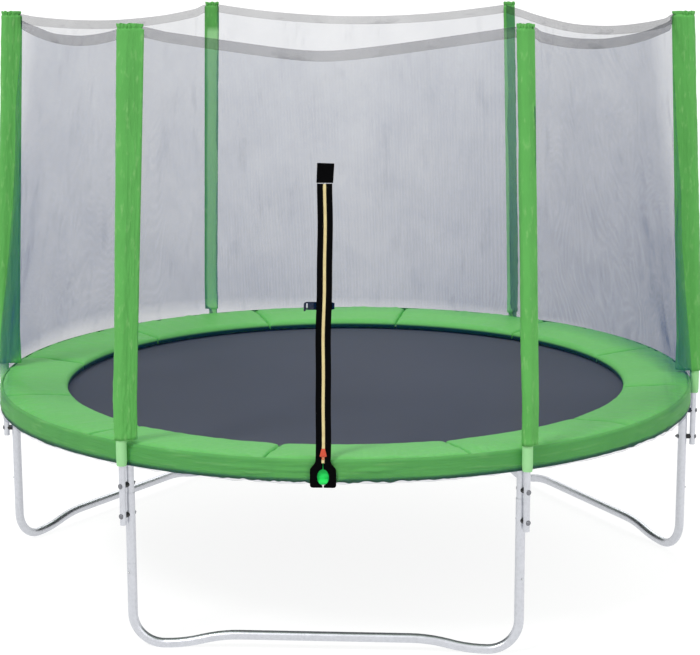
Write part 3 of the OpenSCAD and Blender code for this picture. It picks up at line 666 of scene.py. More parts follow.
def tube(name: str, rings: np.ndarray, slot: Slot, uv: np.ndarray | None = None, caps: bool = True,
         sharp: float | None = None) -> Piece:
    """Skins rings of points, with its faces outwards; the rest is as in loft."""
    made = loft(name, rings, slot, uv, closed=True, caps=caps, sharp=sharp)
    outward(made.data)
    return made


def outward(mesh: Shape) -> Shape:
    """Turns a closed mesh's faces outwards, and returns it."""
    work = bmesh.new()
    work.from_mesh(mesh)
    bmesh.ops.remove_doubles(work, verts=work.verts, dist=1e-6)
    bmesh.ops.recalc_face_normals(work, faces=work.faces)
    work.to_mesh(mesh)
    work.free()
    return mesh


def thicken(thing: Piece, thickness: float, offset: float) -> None:
    """Gives a sheet its thickness with Solidify, inwards for an offset of -1 and outwards for 1."""
    solid = thing.modifiers.new("thickness", "SOLIDIFY")
    solid.thickness, solid.offset = thickness, offset


def mark(mesh: Shape, name: str, amount: np.ndarray) -> None:
    """Gives a mesh an amount at each of its points, which its finish reads."""
    mesh.attributes.new(name, "FLOAT", "POINT").data.foreach_set("value", np.asarray(amount, float).ravel())


def coordinates(mesh: Shape) -> np.ndarray:
    """Places of a mesh's vertices."""
    flat = np.zeros(len(mesh.vertices) * 3)
    mesh.vertices.foreach_get("co", flat)
    return flat.reshape(-1, 3)


def baked(thing: Piece) -> Shape:
    """A plain mesh of an object with its modifiers applied."""
    bpy.context.view_layer.update()
    whole = thing.evaluated_get(bpy.context.evaluated_depsgraph_get())
    return bpy.data.meshes.new_from_object(whole)


def polyline(paths: Sequence[np.ndarray], closed: bool = False) -> Shape:
    """Mesh of bare edges along paths, for a tree to turn into curves.

    Args:
        paths: Points of each path.
        closed: Whether each path runs back to its start.

    Returns:
        The mesh.
    """
    vertices: list[list[float]] = []
    edges: list[tuple[int, int]] = []
    for path in paths:
        first = len(vertices)
        vertices += np.asarray(path, float).tolist()
        edges += [(first + i, first + i + 1) for i in range(len(path) - 1)]
        if closed:
            edges.append((len(vertices) - 1, first))
    mesh = bpy.data.meshes.new("paths")
    mesh.from_pydata(vertices, edges, [])
    return mesh


def oblong(x0: float, x1: float, y0: float, y1: float) -> list[tuple[float, float]]:
    """Corners of a rectangle."""
    return [(x0, y0), (x1, y0), (x1, y1), (x0, y1)]


def rounded(points: Sequence[Sequence[float]], radius: float, steps: int = 5,
            closed: bool = True) -> np.ndarray:
    """A polygon or path with its corners rounded.

    Args:
        points: Corners.
        radius: Radius of each round.
        steps: Pieces in each round.
        closed: Whether the last corner joins the first.

    Returns:
        The rounded outline.
    """
    corners = [np.array(p, float) for p in points]
    out: list[np.ndarray] = []
    for i, corner in enumerate(corners):
        if not closed and i in (0, len(corners) - 1):
            out.append(corner)
            continue
        before, after = corners[i - 1] - corner, corners[(i + 1) % len(corners)] - corner
        a, b = before / np.linalg.norm(before), after / np.linalg.norm(after)
        half = math.acos(float(np.clip(a @ b, -1, 1))) / 2
        reach = min(radius / math.tan(half), np.linalg.norm(before) * 0.49, np.linalg.norm(after) * 0.49)
        start, end = corner + a * reach, corner + b * reach
        for t in np.arange(steps + 1) / steps:
            out.append((1 - t) ** 2 * start + 2 * t * (1 - t) * corner + t ** 2 * end)
    return np.array(out)


def join(whole: Piece, others: Sequence[Piece]) -> None:
    """Joins pieces with the same finish into the first."""
    with bpy.context.temp_override(active_object=whole, selected_editable_objects=[whole, *others]):
        bpy.ops.object.join()


def place(thing: Piece, slot: Slot, *nodes: str, body: Body = Body.FRAME) -> None:
    """Lets a piece ride on a body, hides the CAD nodes that it stands for, and logs it."""
    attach(thing, body.value)
    note(thing, slot, body.value, *nodes)


def note(thing: Piece, slot: Slot, carrier: str, *nodes: str) -> None:
    """Hides the CAD nodes that a piece stands for, and logs it with what carries it."""
    if nodes:
        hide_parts(*nodes)
    LOG.info("%-26s %7d faces on %s", thing.name, len(thing.data.polygons), carrier)


# -------- geometry trees


class Growth(Graph):
    """A Geometry Nodes tree with named inputs, whose result becomes a plain mesh."""

    TYPES = {int: "NodeSocketInt", float: "NodeSocketFloat", tuple: "NodeSocketVector"}

    def __init__(self, name: str, defaults: dict[str, Any]) -> None:
        """Makes the tree with its inputs.

        Args:
            name: Name of the tree.
            defaults: Value of each named input.
        """
        super().__init__(bpy.data.node_groups.new(name, "GeometryNodeTree"))
        face = self.tree.interface
        face.new_socket("Geometry", in_out="INPUT", socket_type="NodeSocketGeometry")
        self.names = {}
        for key, value in defaults.items():
            socket = face.new_socket(key, in_out="INPUT", socket_type=self.TYPES[type(value)])
            socket.default_value = value
            self.names[key] = socket.identifier
        finish = face.new_socket("Finish", in_out="INPUT", socket_type="NodeSocketMaterial")
        self.names["Finish"] = finish.identifier
        face.new_socket("Geometry", in_out="OUTPUT", socket_type="NodeSocketGeometry")
        self.given = self.node("NodeGroupInput").outputs

    def chain(self, kind: str, geometry: Any, settings: Values = None, inputs: Values = None) -> Socket:
        """Adds a node whose first socket takes the geometry, and returns its first output."""
        return self.node(kind, settings, {0: geometry, **(inputs or {})}).outputs[0]

    def path(self) -> Socket:
        """The given edges as a curve."""
        return self.chain("GeometryNodeMeshToCurve", self.given["Geometry"])

    def line(self) -> Socket:
        """Points in one place, as many as the tree's Count."""
        points = {"Count": self.given["Count"], "Offset": (0, 0, 0)}
        return self.node("GeometryNodeMeshLine", inputs=points).outputs[0]

    def vector(self, axis: int, value: Num) -> Socket:
        """A vector with a value along one axis."""
        return self.node("ShaderNodeCombineXYZ", inputs={axis: value}).outputs[0]

    def copies(self, geometry: Socket) -> Socket:
        """Turns copies of a geometry about the Z axis by the tree's Count, First turn and Step.

        Args:
            geometry: What is copied, drawn at turn 0.

        Returns:
            The instances.
        """
        turn = self.number("GeometryNodeInputIndex") * self.given["Step"] + self.given["First turn"]
        return self.chain("GeometryNodeInstanceOnPoints", self.line(),
                          inputs={"Instance": geometry, "Rotation": self.vector(2, turn)})

    def swept(self, curve: Socket) -> Socket:
        """Turns a curve into round wire of the tree's Wire radius and Facets."""
        ring = self.node("GeometryNodeCurvePrimitiveCircle",
                         inputs={"Resolution": self.given["Facets"], "Radius": self.given["Wire"]})
        return self.chain("GeometryNodeCurveToMesh", curve,
                          inputs={"Profile Curve": ring.outputs[0], "Fill Caps": True})

    def end(self, geometry: Socket) -> "Growth":
        """Realizes the geometry, gives it its finish and ends the tree."""
        real = self.chain("GeometryNodeRealizeInstances", geometry)
        done = self.chain("GeometryNodeSetMaterial", real, inputs={"Material": self.given["Finish"]})
        self.node("NodeGroupOutput", inputs={0: done})
        return self

    def grow(self, name: str, source: Shape, slot: Slot, sharp: float | None = None, **values: Any) -> Piece:
        """Runs the tree on a mesh and keeps the result as a plain mesh.

        Args:
            name: Name of the piece.
            source: Mesh or edges that the tree starts from.
            slot: Material slot.
            sharp: Angle over which an edge stays sharp.
            values: Inputs by name, with _ for a space.

        Returns:
            The piece.
        """
        seed = linked(name + "_seed", source)
        modifier = seed.modifiers.new("growth", "NODES")
        modifier.node_group = self.tree
        for key, value in values.items():
            modifier[self.names[key.replace("_", " ")]] = value
        modifier[self.names["Finish"]] = slot.finish.material()
        mesh = baked(seed)
        bpy.data.objects.remove(seed)
        bpy.data.meshes.remove(source)
        return wrap(name, mesh, slot, sharp)


TURNS = {"Count": 3, "First turn": 0.0, "Step": 0.1}


def turn_tree() -> Growth:
    """Tree that sets copies of its mesh round the Z axis."""
    graph = Growth("copies_round_axis", TURNS)
    return graph.end(graph.copies(graph.given["Geometry"]))


def wire_tree() -> Growth:
    """Tree that makes wire along its edges, in copies round the Z axis."""
    graph = Growth("wire_round_axis", {"Wire": 0.002, "Facets": 8, **TURNS})
    return graph.end(graph.copies(graph.swept(graph.path())))


def spring_tree() -> Growth:
    """Tree that winds a coil spring along X with the hooks that its edges draw, in copies round Z."""
    graph = Growth("coil_springs", {"Wire": 0.0016, "Facets": 5, "Turns": 34.0, "Coil radius": 0.009,
                                    "Coil length": 0.11, "Coil start": (1.0, 0.0, 0.0), **TURNS})
    coil = graph.node("GeometryNodeCurveSpiral", inputs={
        "Resolution": 12, "Rotations": graph.given["Turns"], "Start Radius": graph.given["Coil radius"],
        "End Radius": graph.given["Coil radius"], "Height": graph.given["Coil length"]})
    laid = graph.chain("GeometryNodeTransform", coil.outputs[0], inputs={
        "Translation": graph.given["Coil start"], "Rotation": (0, math.pi / 2, 0)})
    both = graph.node("GeometryNodeJoinGeometry")
    for curve in (laid, graph.path()):
        graph.tree.links.new(curve, both.inputs[0])
    return graph.end(graph.copies(graph.swept(both.outputs[0])))


def stitch_tree() -> Growth:
    """Tree that sets stitches along its edges: short threads with a gap between them."""
    graph = Growth("stitches", {"Spacing": 0.004, "Shape": (0.0004, 0.0004, 0.0014)})
    spots = graph.node("GeometryNodeCurveToPoints", {"mode": "LENGTH"},
                       {"Curve": graph.path(), "Length": graph.given["Spacing"]})
    bead = graph.node("GeometryNodeMeshUVSphere", inputs={"Segments": 5, "Rings": 4, "Radius": 1.0})
    return graph.end(graph.chain("GeometryNodeInstanceOnPoints", spots.outputs["Points"], inputs={
        "Instance": bead.outputs[0], "Rotation": spots.outputs["Rotation"], "Scale": graph.given["Shape"]}))


def tooth_tree() -> Growth:
    """Tree that sets copies of its mesh in two offset rows along Y, as a zip's teeth are."""
    graph = Growth("zip_teeth", {"Count": 100, "Pitch": 0.004, "Start": (0.0, 0.0, 0.0)})
    number = graph.number("GeometryNodeInputIndex")
    start = graph.node("ShaderNodeVectorMath", {"operation": "ADD"},
                       {0: graph.vector(1, number * graph.given["Pitch"] * 0.5), 1: graph.given["Start"]})
    moved = graph.chain("GeometryNodeSetPosition", graph.line(), inputs={"Offset": start.outputs[0]})
    half_turn = number.math("MODULO", number, 2) * math.pi
    return graph.end(graph.chain("GeometryNodeInstanceOnPoints", moved, inputs={
        "Instance": graph.given["Geometry"], "Rotation": graph.vector(2, half_turn)}))


@dataclass
class Trees:
    """The trees that several sub-assemblies share."""

    turn: Growth = field(default_factory=turn_tree)
    wire: Growth = field(default_factory=wire_tree)
    spring: Growth = field(default_factory=spring_tree)
    stitch: Growth = field(default_factory=stitch_tree)
    tooth: Growth = field(default_factory=tooth_tree)

    def sew(self, name: str, paths: Sequence[np.ndarray], slot: Slot, spacing: float,
            thread: tuple[float, float], closed: bool = False) -> None:
        """Sews a row of stitches along each path.

        Args:
            name: Name of the piece that the rows make.
            paths: Points of each path.
            slot: Material slot of what is sewn.
            spacing: Distance from stitch to stitch.
            thread: Half of a stitch's width and length.
            closed: Whether each path runs back to its start.
        """
        shape = [thread[0], *thread]
        rows = self.stitch.grow(name, polyline(paths, closed), slot, Spacing=spacing, Shape=shape)
        place(rows, slot)


# -------- shared sizes


@dataclass
class Layout:
    """Sizes and places that the sub-assemblies share, in metres, read from the frame."""

    bend_z: float = 1.0
    lean: float = 0.075 / 1.395
    seam_in: float = 0.027
    flank: float = 0.0178
    net_bulge: float = 0.010
    hem_lift: float = 0.016
    hem_sags: tuple[float, ...] = (0.076, 0.058, 0.050, 0.060, 0.088, 0.072)
    zip_x: float = 0.013
    seam_turn: float = 29.3

    def __post_init__(self) -> None:
        """Reads the rest from the frame's nodes and joints."""
        rail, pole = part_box("frame_rail_front"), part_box("pole_lower_right")
        self.tube_r = (rail[1].z - rail[0].z) / 2
        self.ring_z = (rail[1].z + rail[0].z) / 2
        self.ring_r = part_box("leg_sockets")[1].x - self.tube_r
        self.pole_r = (pole[0].x + pole[1].x) / 2
        self.pole_tube_r = (pole[1].x - pole[0].x) / 2
        self.foam_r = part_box("pole_foams")[1].x - self.pole_r
        self.net_r = self.pole_r - self.foam_r - 0.0009
        self.edge_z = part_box("zip_chain")[0].z - 0.002
        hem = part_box("net_hem")
        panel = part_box("net_panel_front")
        self.hem_h = hem[1].z - panel[1].z - 0.0006
        self.hem_end_z = hem[1].z - self.hem_h
        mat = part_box("jump_mat")
        self.mat_r, self.mat_z = mat[1].x, (mat[0].z + mat[1].z) / 2
        slide = next(j for j in frame["joints"] if j["name"] == "zip_slide")
        self.zip_tilt = math.atan2(slide["axis"][1], slide["axis"][2])

    def pole_at(self, z: Any) -> Any:
        """Distance of a pole's middle from the Z axis at that height."""
        return self.pole_r - np.maximum(0, z - self.bend_z) * self.lean

    @property
    def seam_top(self) -> tuple[float, float]:
        """Distance of the panels' upper corners from the axis, and half of the chord between them."""
        reach = float(self.pole_at(self.hem_end_z)) - self.seam_in
        half = math.radians(SIDE_ANGLE / 2)
        return (reach * math.cos(half) + self.flank * math.sin(half),
                reach * math.sin(half) - self.flank * math.cos(half))

    def hem_low(self, u: Any, side: int) -> Any:
        """Height of the hem's lower edge at a place from -1 to 1 along a side."""
        dip = (1.0149 - np.sqrt(u * u + 0.03)) / 0.8417 if side == FRONT else 1 - u * u
        return self.hem_end_z + self.hem_lift - self.hem_sags[side] * dip

    def net_low(self, u: Any) -> tuple[Any, Any]:
        """Distance out and sideways of a panel beside the pad, about its middle."""
        turn = np.radians(u * self.seam_turn)
        out = self.net_r + self.net_bulge * np.sqrt(np.maximum(0, 1 - u * u))
        return out * np.cos(turn), out * np.sin(turn)


# -------- steel


class Parts:
    """Vertices and faces of several shapes that become one mesh."""

    def __init__(self) -> None:
        """Starts empty."""
        self.vertices: list[list[float]] = []
        self.faces: list[list[int]] = []

    def skin(self, rings: np.ndarray) -> None:
        """Adds a closed skin over rings of points, filled at both ends."""
        rows, columns = rings.shape[:2]
        first = len(self.vertices)
        ends = [range(columns)[::-1], range((rows - 1) * columns, rows * columns)]
        self.vertices += rings.reshape(-1, 3).tolist()
        self.faces += [[first + i for i in f] for f in [*sheet_faces(rows, columns, True), *ends]]

    def mesh(self, name: str) -> Shape:
        """A mesh of all the shapes, facing outwards."""
        made = bpy.data.meshes.new(name)
        made.from_pydata(self.vertices, [], self.faces)
        return outward(made)


def lathe(stations: Sequence[tuple[float, float]], sides: int, corner: float = 0.0) -> np.ndarray:
    """Rings about the X axis.

    Args:
        stations: Place along X and radius of each ring.
        sides: Points in each ring.
        corner: 1 for rings that are hexagons, 0 for round ones.

    Returns:
        Rings of points.
    """
    turns = np.arange(sides) * math.tau / sides
    sixth = math.tau / 6
    inset = math.cos(sixth / 2) / np.cos((turns + sixth / 2) % sixth - sixth / 2)
    rings = []
    for along, radius in stations:
        reach = radius * (1 + (inset - 1) * corner)
        rings.append(np.stack([np.full(sides, along), reach * np.cos(turns), reach * np.sin(turns)], axis=1))
    return np.array(rings)


@dataclass
class SteelFrame:
    """Tubes and moulded parts that keep the shape that the frame gives them."""

    finishes: dict[str, Slot] = field(default_factory=lambda: {
        "frame_rail": Slot.TUBE, "leg_": Slot.TUBE, "pole_lower": Slot.TUBE, "pole_upper": Slot.TUBE,
        "snap_buttons": Slot.PLATED, "pole_spacers": Slot.PLASTIC, "pole_caps": Slot.PLASTIC})

    def dress(self) -> None:
        """Gives each kept node its finish."""
        for name, thing in sorted(frame["nodes"].items()):
            slot = next((s for start, s in self.finishes.items() if name.startswith(start)), None)
            if slot is None:
                continue
            if not thing.material_slots:
                thing.data.materials.append(None)
            for held in thing.material_slots:
                held.material = slot.finish.material()
            LOG.info("%-26s %7d faces dressed", name, len(thing.data.polygons))


@dataclass
class Fasteners:
    """Bolts and nuts that hold the net's poles to the legs."""

    lay: Layout
    trees: Trees
    heights: tuple[float, float] = (0.545, 0.665)
    shank_r: float = 0.004
    head_r: float = 0.0085
    head_h: float = 0.0042
    nut_r: float = 0.0076
    nut_h: float = 0.007
    washer_r: float = 0.0105
    sides: int = 24

    def bolts(self) -> None:
        """Makes the domed bolts with their washers and threaded ends."""
        start = self.lay.ring_r - self.lay.tube_r - self.nut_h - 0.005
        face = self.lay.pole_r + self.lay.pole_tube_r
        dome = [(face + 0.0012 + self.head_h * math.sin(a), self.head_r * math.cos(a))
                for a in np.linspace(0.1, 1.4, 6)]
        body = [(start, self.shank_r * 0.8), (start + 0.0008, self.shank_r)]
        body += [(start + 0.001 + i * 0.0006, self.shank_r * (1 if i % 2 else 0.9)) for i in range(28)]
        body += [(face, self.shank_r), (face + 0.0011, self.shank_r), (face + 0.0012, self.head_r)] + dome
        washer = [(face - 0.0002, self.shank_r), (face - 0.0001, self.washer_r),
                  (face + 0.0010, self.washer_r), (face + 0.0012, self.washer_r - 0.0004),
                  (face + 0.0012, self.shank_r)]
        self._set("bolts", [(z, lathe(shape, self.sides)) for z in self.heights for shape in (body, washer)])

    def nuts(self) -> None:
        """Makes the chamfered hexagon nuts with their washers."""
        shapes = []
        for z, leg in zip(self.heights, (self.lay.tube_r, self.lay.tube_r - 0.0018)):
            seat = self.lay.ring_r - leg - 0.0003
            end = seat - self.nut_h
            washer = [(seat - 0.0014, self.shank_r), (seat - 0.0013, self.washer_r),
                      (seat - 0.0001, self.washer_r), (seat, self.shank_r)]
            shapes += [(z, np.concatenate([
                lathe([(end - 0.0001, self.nut_r * 0.85)], self.sides),
                lathe([(end + 0.0009, self.nut_r), (seat - 0.0014, self.nut_r)], self.sides, 1.0)])),
                (z, lathe(washer, self.sides))]
        self._set("nuts", shapes)

    def _set(self, name: str, shapes: Sequence[tuple[float, np.ndarray]]) -> None:
        """Sets copies of the shapes, each given by its height and rings, at the six poles."""
        parts = Parts()
        for z, rings in shapes:
            parts.skin(rings + np.array([0, 0, z]))
        made = self.trees.turn.grow(name, parts.mesh(name), Slot.BOLT, 35,
                                    Count=SIDES, Step=math.radians(SIDE_ANGLE), First_turn=0.0)
        place(made, Slot.BOLT, "pole_" + name)


# -------- poles


@dataclass(frozen=True)
class Sleeve:
    """How one fabric sleeve hangs round its pole."""

    pole: int
    reach: tuple[float, float]      # from the pole's middle to the flap's fold, at its foot and top
    radius: float                   # round the foam
    turn: float = 0.0               # of the flap, from inwards

    @property
    def heading(self) -> float:
        """Direction that the flap points in, in degrees."""
        return self.pole * SIDE_ANGLE + 180 + self.turn


@dataclass
class PoleSleeves:
    """Fabric sleeves over the padded poles, gathered at their tops."""

    lay: Layout
    trees: Trees
    sleeves: tuple[Sleeve, ...] = (
        Sleeve(0, (0.084, 0.070), 0.0255), Sleeve(1, (0.050, 0.050), 0.0240),
        Sleeve(2, (0.040, 0.044), 0.0235, -110.0), Sleeve(3, (0.078, 0.062), 0.0255),
        Sleeve(4, (0.062, 0.076), 0.0240, -45.0), Sleeve(5, (0.040, 0.042), 0.0235, -103.0))
    fold_r: float = 0.008
    foot_z: float = 0.85
    top_z: float = 2.40
    # Painted light: the back sleeves' inward sides are painted lighter and greener below this height.
    fresh_z: float = 2.30
    fresh_poles: tuple[int, ...] = (1, 2)
    columns: int = 84
    rows: int = 110
    rim_h: float = 0.016
    cloth: float = 0.001
    ruffles: int = 12

    def fold_at(self, pole: int, z: np.ndarray) -> np.ndarray:
        """Places of a sleeve's fold, where the net is sewn in.

        Args:
            pole: Number of the sleeve's pole.
            z: Heights.

        Returns:
            Places across, for each height.
        """
        sleeve = self.sleeves[pole]
        share = np.clip((z - self.foot_z) / (self.top_z - self.foot_z), 0, 1)
        reach = sleeve.reach[0] + (sleeve.reach[1] - sleeve.reach[0]) * share - self.fold_r * 0.6
        turn, lead = math.radians(pole * SIDE_ANGLE), math.radians(sleeve.heading)
        return np.stack([self.lay.pole_at(z) * math.cos(turn) + reach * math.cos(lead),
                         self.lay.pole_at(z) * math.sin(turn) + reach * math.sin(lead)], axis=-1)

    def outline(self, sleeve: Sleeve, reach: float) -> tuple[np.ndarray, np.ndarray, np.ndarray]:
        """Section of a sleeve whose flap points along +X.

        Args:
            sleeve: The sleeve.
            reach: Distance of its fold.

        Returns:
            Points, outward directions and lengths along the outline, from the flap's fold.
        """
        gap = reach - self.fold_r
        tangent = math.acos((sleeve.radius - self.fold_r) / gap)
        side = math.sqrt(gap ** 2 - (sleeve.radius - self.fold_r) ** 2)
        small, big, far = self.fold_r, sleeve.radius, math.tau - tangent
        ends = np.cumsum([0, small * tangent, side, big * (far - tangent), side, small * tangent])
        along = np.arange(self.columns) / self.columns * ends[-1]
        angle = np.interp(along, ends, [0, tangent, tangent, far, far, math.tau])
        normals = np.stack([np.cos(angle), np.sin(angle)], axis=1)
        points = normals * np.interp(along, ends, [small, small, big, big, small, small])[:, None]
        points[:, 0] += np.interp(along, ends, [gap, gap, 0, 0, gap, gap])
        return points, normals, along

    def make(self) -> None:
        """Makes the six sleeves."""
        for sleeve in self.sleeves:
            self._sew(sleeve)

    def _sew(self, sleeve: Sleeve) -> None:
        """Makes one sleeve with its folds, its gathered neck, its stitched hem and, on the back sleeves,
        painted light.

        Args:
            sleeve: The sleeve.
        """
        pole, node = sleeve.pole, "pole_cover_" + POLES[sleeve.pole]
        low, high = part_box(node)[0].z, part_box(node)[1].z + 0.006
        neck = high - 2.2 * self.rim_h
        z = np.append(np.linspace(low, neck, self.rows, endpoint=False), np.linspace(neck, high, 20))
        z = z[:, None]
        share = ((z - low) / (high - low))[..., None]
        (foot, normals, along), (top, _, _) = (self.outline(sleeve, reach) for reach in sleeve.reach)
        points = foot[None] * (1 - share) + top[None] * share
        s, total = along[None, :], along[-1] + along[1]
        calm = smoothstep(np.minimum(s, total - s) / 0.012)
        long_folds = Ripples(40 + pole, 0.045, 16).height(s, z)
        pleats = Ripples(60 + pole, 0.030, 9).ridges(s, z)
        slack = Ripples(80 + pole, 0.024, 1.6).height(s, z)
        near_low = np.exp(-(z - low) / 0.09)
        push = 0.0010 * long_folds + 0.0016 * pleats + 0.0016 * slack * (0.15 + near_low)
        push = np.clip(push * calm, -0.0022, 0.005)
        rise = z - (high - self.rim_h)
        cinch = np.exp(-(rise / 0.0045) ** 2)
        over = smoothstep((rise + 0.005) / 0.008)
        theta = np.arctan2(foot[:, 1], foot[:, 0])[None, :]
        ruffle = np.cos(self.ruffles * theta + 1.3 * pole) * 0.0035 * smoothstep((rise + 0.006) / 0.010)
        tight = 1 - 0.06 * over - 0.10 * cinch
        across = points * tight[..., None] + normals[None] * (push * (1 - over) + ruffle)[..., None]
        grid = turned(np.concatenate([across, 0 * across[..., :1]], axis=2), 180 + sleeve.turn)
        grid[..., 0] += self.lay.pole_at(z)
        grid[..., 2] = z + 0.002 * over * np.sin(5 * theta + pole)
        grid = turned(grid, pole * SIDE_ANGLE)
        uv = chart(np.append(along, total), z[:, 0])
        made = loft("sleeve_" + POLES[pole], grid, Slot.COVER, uv, closed=True)
        # Painted light: the inward sides of the back sleeves, below a height, are marked for a lighter,
        # greener colour.
        spots = turned(coordinates(made.data), -pole * SIDE_ANGLE)
        inward = smoothstep((self.lay.pole_at(spots[:, 2]) - spots[:, 0]) / 0.012 + 0.5)
        below = smoothstep((self.fresh_z - spots[:, 2]) / 0.03)
        mark(made.data, "fresh", inward * below * (pole in self.fresh_poles))
        thicken(made, self.cloth, 1.0)
        place(made, Slot.COVER, node)
        rings = [grid[i] + (grid[i] - grid[i].mean(0)) * 0.02 for i in (3, 6)]
        self.trees.sew(made.name + "_hem", rings, Slot.COVER, 0.006, (0.0005, 0.0021), closed=True)


@dataclass
class FoamTubes:
    """Foam tubes round the poles, under the sleeves."""

    lay: Layout
    sides: int = 40
    rows: int = 90

    def make(self) -> None:
        """Makes one tube for each pole."""
        low, high = (corner.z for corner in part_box("pole_foams"))
        z = np.linspace(low, high, self.rows)
        turns = np.arange(self.sides) * math.tau / self.sides
        for pole, name in enumerate(POLES):
            dents = Ripples(7 + pole, 0.03, 2).height(turns[None, :] * self.lay.foam_r, z[:, None])
            radius = self.lay.foam_r - 0.0004 + 0.00025 * dents
            radius[[0, -1]] -= 0.0016
            x = self.lay.pole_at(z)[:, None] + radius * np.cos(turns)
            grid = turned(np.stack(np.broadcast_arrays(x, radius * np.sin(turns), z[:, None]), axis=2),
                          pole * SIDE_ANGLE)
            foam = loft("foam_" + name, grid, Slot.FOAM, closed=True, caps=True, sharp=50)
            place(foam, Slot.FOAM, "pole_foams")


# -------- mat and springs


@dataclass
class JumpMat:
    """The jump mat with its sewn strap, rings and springs, in sectors."""

    lay: Layout
    trees: Trees
    sectors: int = 18
    springs_each: int = 3
    columns: int = 9
    hole_r: float = 0.04
    hem_w: float = 0.091
    fold: float = 0.0005
    half_t: float = 0.001
    strap_w: float = 0.045
    strap_t: float = 0.0016
    gap: float = 0.0003
    loop_r: float = 0.0047
    loop_half: float = 0.009
    ring_side: float = 0.032
    ring_wire: float = 0.002
    spring_r: float = 0.0094
    spring_wire: float = 0.0016
    coil_in: float = 1.3586
    coil_out: float = 1.470
    hook_r: float = 1.3428
    hook_drop: float = 0.009
    coil_turns: float = 34.0
    fixed_r: float = 1.486
    free_r: float = 0.2

    @property
    def step(self) -> float:
        """Turn of one sector."""
        return 360 / self.sectors

    @property
    def bar_r(self) -> float:
        """Distance of the rings' bars from the axis."""
        return self.lay.mat_r + self.gap * 2 + self.strap_t + self.loop_r

    def make(self) -> None:
        """Makes the first sector's pieces, and turned copies of them for every sector."""
        kinds = ((self.fabric(), Slot.MAT, "jump_mat"), (self.strap(), Slot.WEBBING, "mat_webbing"),
                 (self.rings(), Slot.PLATED, "mat_rings"), (self.springs(), Slot.PLATED, "springs"))
        for sector in range(self.sectors):
            for first, slot, node in kinds:
                mesh = first.data.copy()
                mesh.vertices.foreach_set("co", turned(coordinates(mesh), sector * self.step).ravel())
                thing = wrap(f"{first.name.removesuffix('_first')}_{sector:02d}", mesh, slot)
                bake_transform(thing)
                note(thing, slot, "frame to mat", node)
        for first, _, _ in kinds:
            bpy.data.meshes.remove(first.data)

    def fabric(self) -> Piece:
        """Makes a sector of the mat: two faces, a folded hem and closed edges."""
        mat_r, z, columns = self.lay.mat_r, self.lay.mat_z, self.columns
        hem = mat_r - self.hem_w
        radii = np.concatenate([np.linspace(self.hole_r, hem - 0.0004, 26), [hem + 0.0004],
                                np.linspace(hem + 0.02, mat_r, 4)])
        turns = np.radians(np.linspace(0, self.step, columns))
        x, y = radii[:, None] * np.cos(turns), radii[:, None] * np.sin(turns)
        half = self.half_t + np.where(radii > hem, self.fold, 0)[:, None] + 0 * x
        top, low = (np.stack([x, y, z + way * half], axis=2).reshape(-1, 3) for way in (1, -1))
        vertices = np.concatenate([top, low, [[0, 0, z + self.half_t], [0, 0, z - self.half_t]]])
        count = len(top)
        quads = sheet_faces(len(radii), columns, False)
        faces = [q[::-1] for q in quads] + [tuple(count + i for i in q) for q in quads]
        last = count - columns
        for j in range(columns - 1):
            faces += [(2 * count, j, j + 1), (2 * count + 1, count + j + 1, count + j),
                      (last + j, count + last + j, count + last + j + 1, last + j + 1)]
        for column, flip in ((0, False), (columns - 1, True)):
            rim = [2 * count, *range(column, count, columns)]
            under = [2 * count + 1, *range(count + column, 2 * count, columns)]
            for side in zip(rim, under, under[1:], rim[1:]):
                faces.append(side[::-1] if flip else side)
        return piece("mat_first", vertices, faces, Slot.MAT, sharp=40)

    def strap(self) -> Piece:
        """Makes a sector of the folded strap round the mat's edge, with the loops of its rings."""
        inner, outer = self.lay.mat_r - self.strap_w, self.lay.mat_r + self.gap + self.strap_t
        reach = self.half_t + self.fold + self.gap
        full = reach + self.strap_t
        section = rounded([(inner, reach), (inner, full), (outer, full), (outer, -full), (inner, -full),
                           (inner, -reach), (outer - self.strap_t, -reach), (outer - self.strap_t, reach)],
                          0.0006, 2)
        profile = np.column_stack([section[:, 0], 0 * section[:, 0], section[:, 1] + self.lay.mat_z])
        turns = np.linspace(0, self.step, 13)
        rows = np.array([turned(profile, turn) for turn in turns])
        uv = chart(run(section, True), np.radians(turns) * self.lay.mat_r)
        band = tube("strap_first", rows, Slot.WEBBING, uv, sharp=50)
        join(band, [self._loop(i) for i in range(self.springs_each)])
        return band

    def _turn(self, i: int) -> float:
        """Turn of the first sector's spring with number i, in degrees."""
        return (i + 0.5) / self.springs_each * self.step

    def _loop(self, i: int) -> Piece:
        """Makes the strap's loop round a ring's bar.

        Args:
            i: Its number.

        Returns:
            The loop.
        """
        turns = np.arange(16) * math.tau / 16
        r, inner, half = self.loop_r, self.loop_r - 0.0015, self.loop_half
        rings = [np.column_stack([self.bar_r + radius * np.cos(turns), np.full(16, y),
                                  self.lay.mat_z + radius * np.sin(turns)])
                 for radius, y in ((inner, -half), (r, -half), (r + 0.0001, 0), (r, half), (inner, half),
                                   (inner, -half))]
        uv = chart(np.linspace(0, 0.03, 17), np.linspace(0, 0.02, 6))
        return tube(f"loop_{i}", turned(np.array(rings), self._turn(i)), Slot.WEBBING, uv, caps=False)

    def rings(self) -> Piece:
        """Makes the three-sided rings between a sector's loops and springs."""
        bar, half, z = self.bar_r, self.ring_side / 2, self.lay.mat_z
        tip = bar + self.ring_side * math.cos(math.radians(30))
        path = polyline([rounded([(bar, -half, z), (tip, 0, z), (bar, half, z)], 0.0035, 4)], closed=True)
        return self._wire("rings_first", path, self.trees.wire, Wire=self.ring_wire, Facets=8)

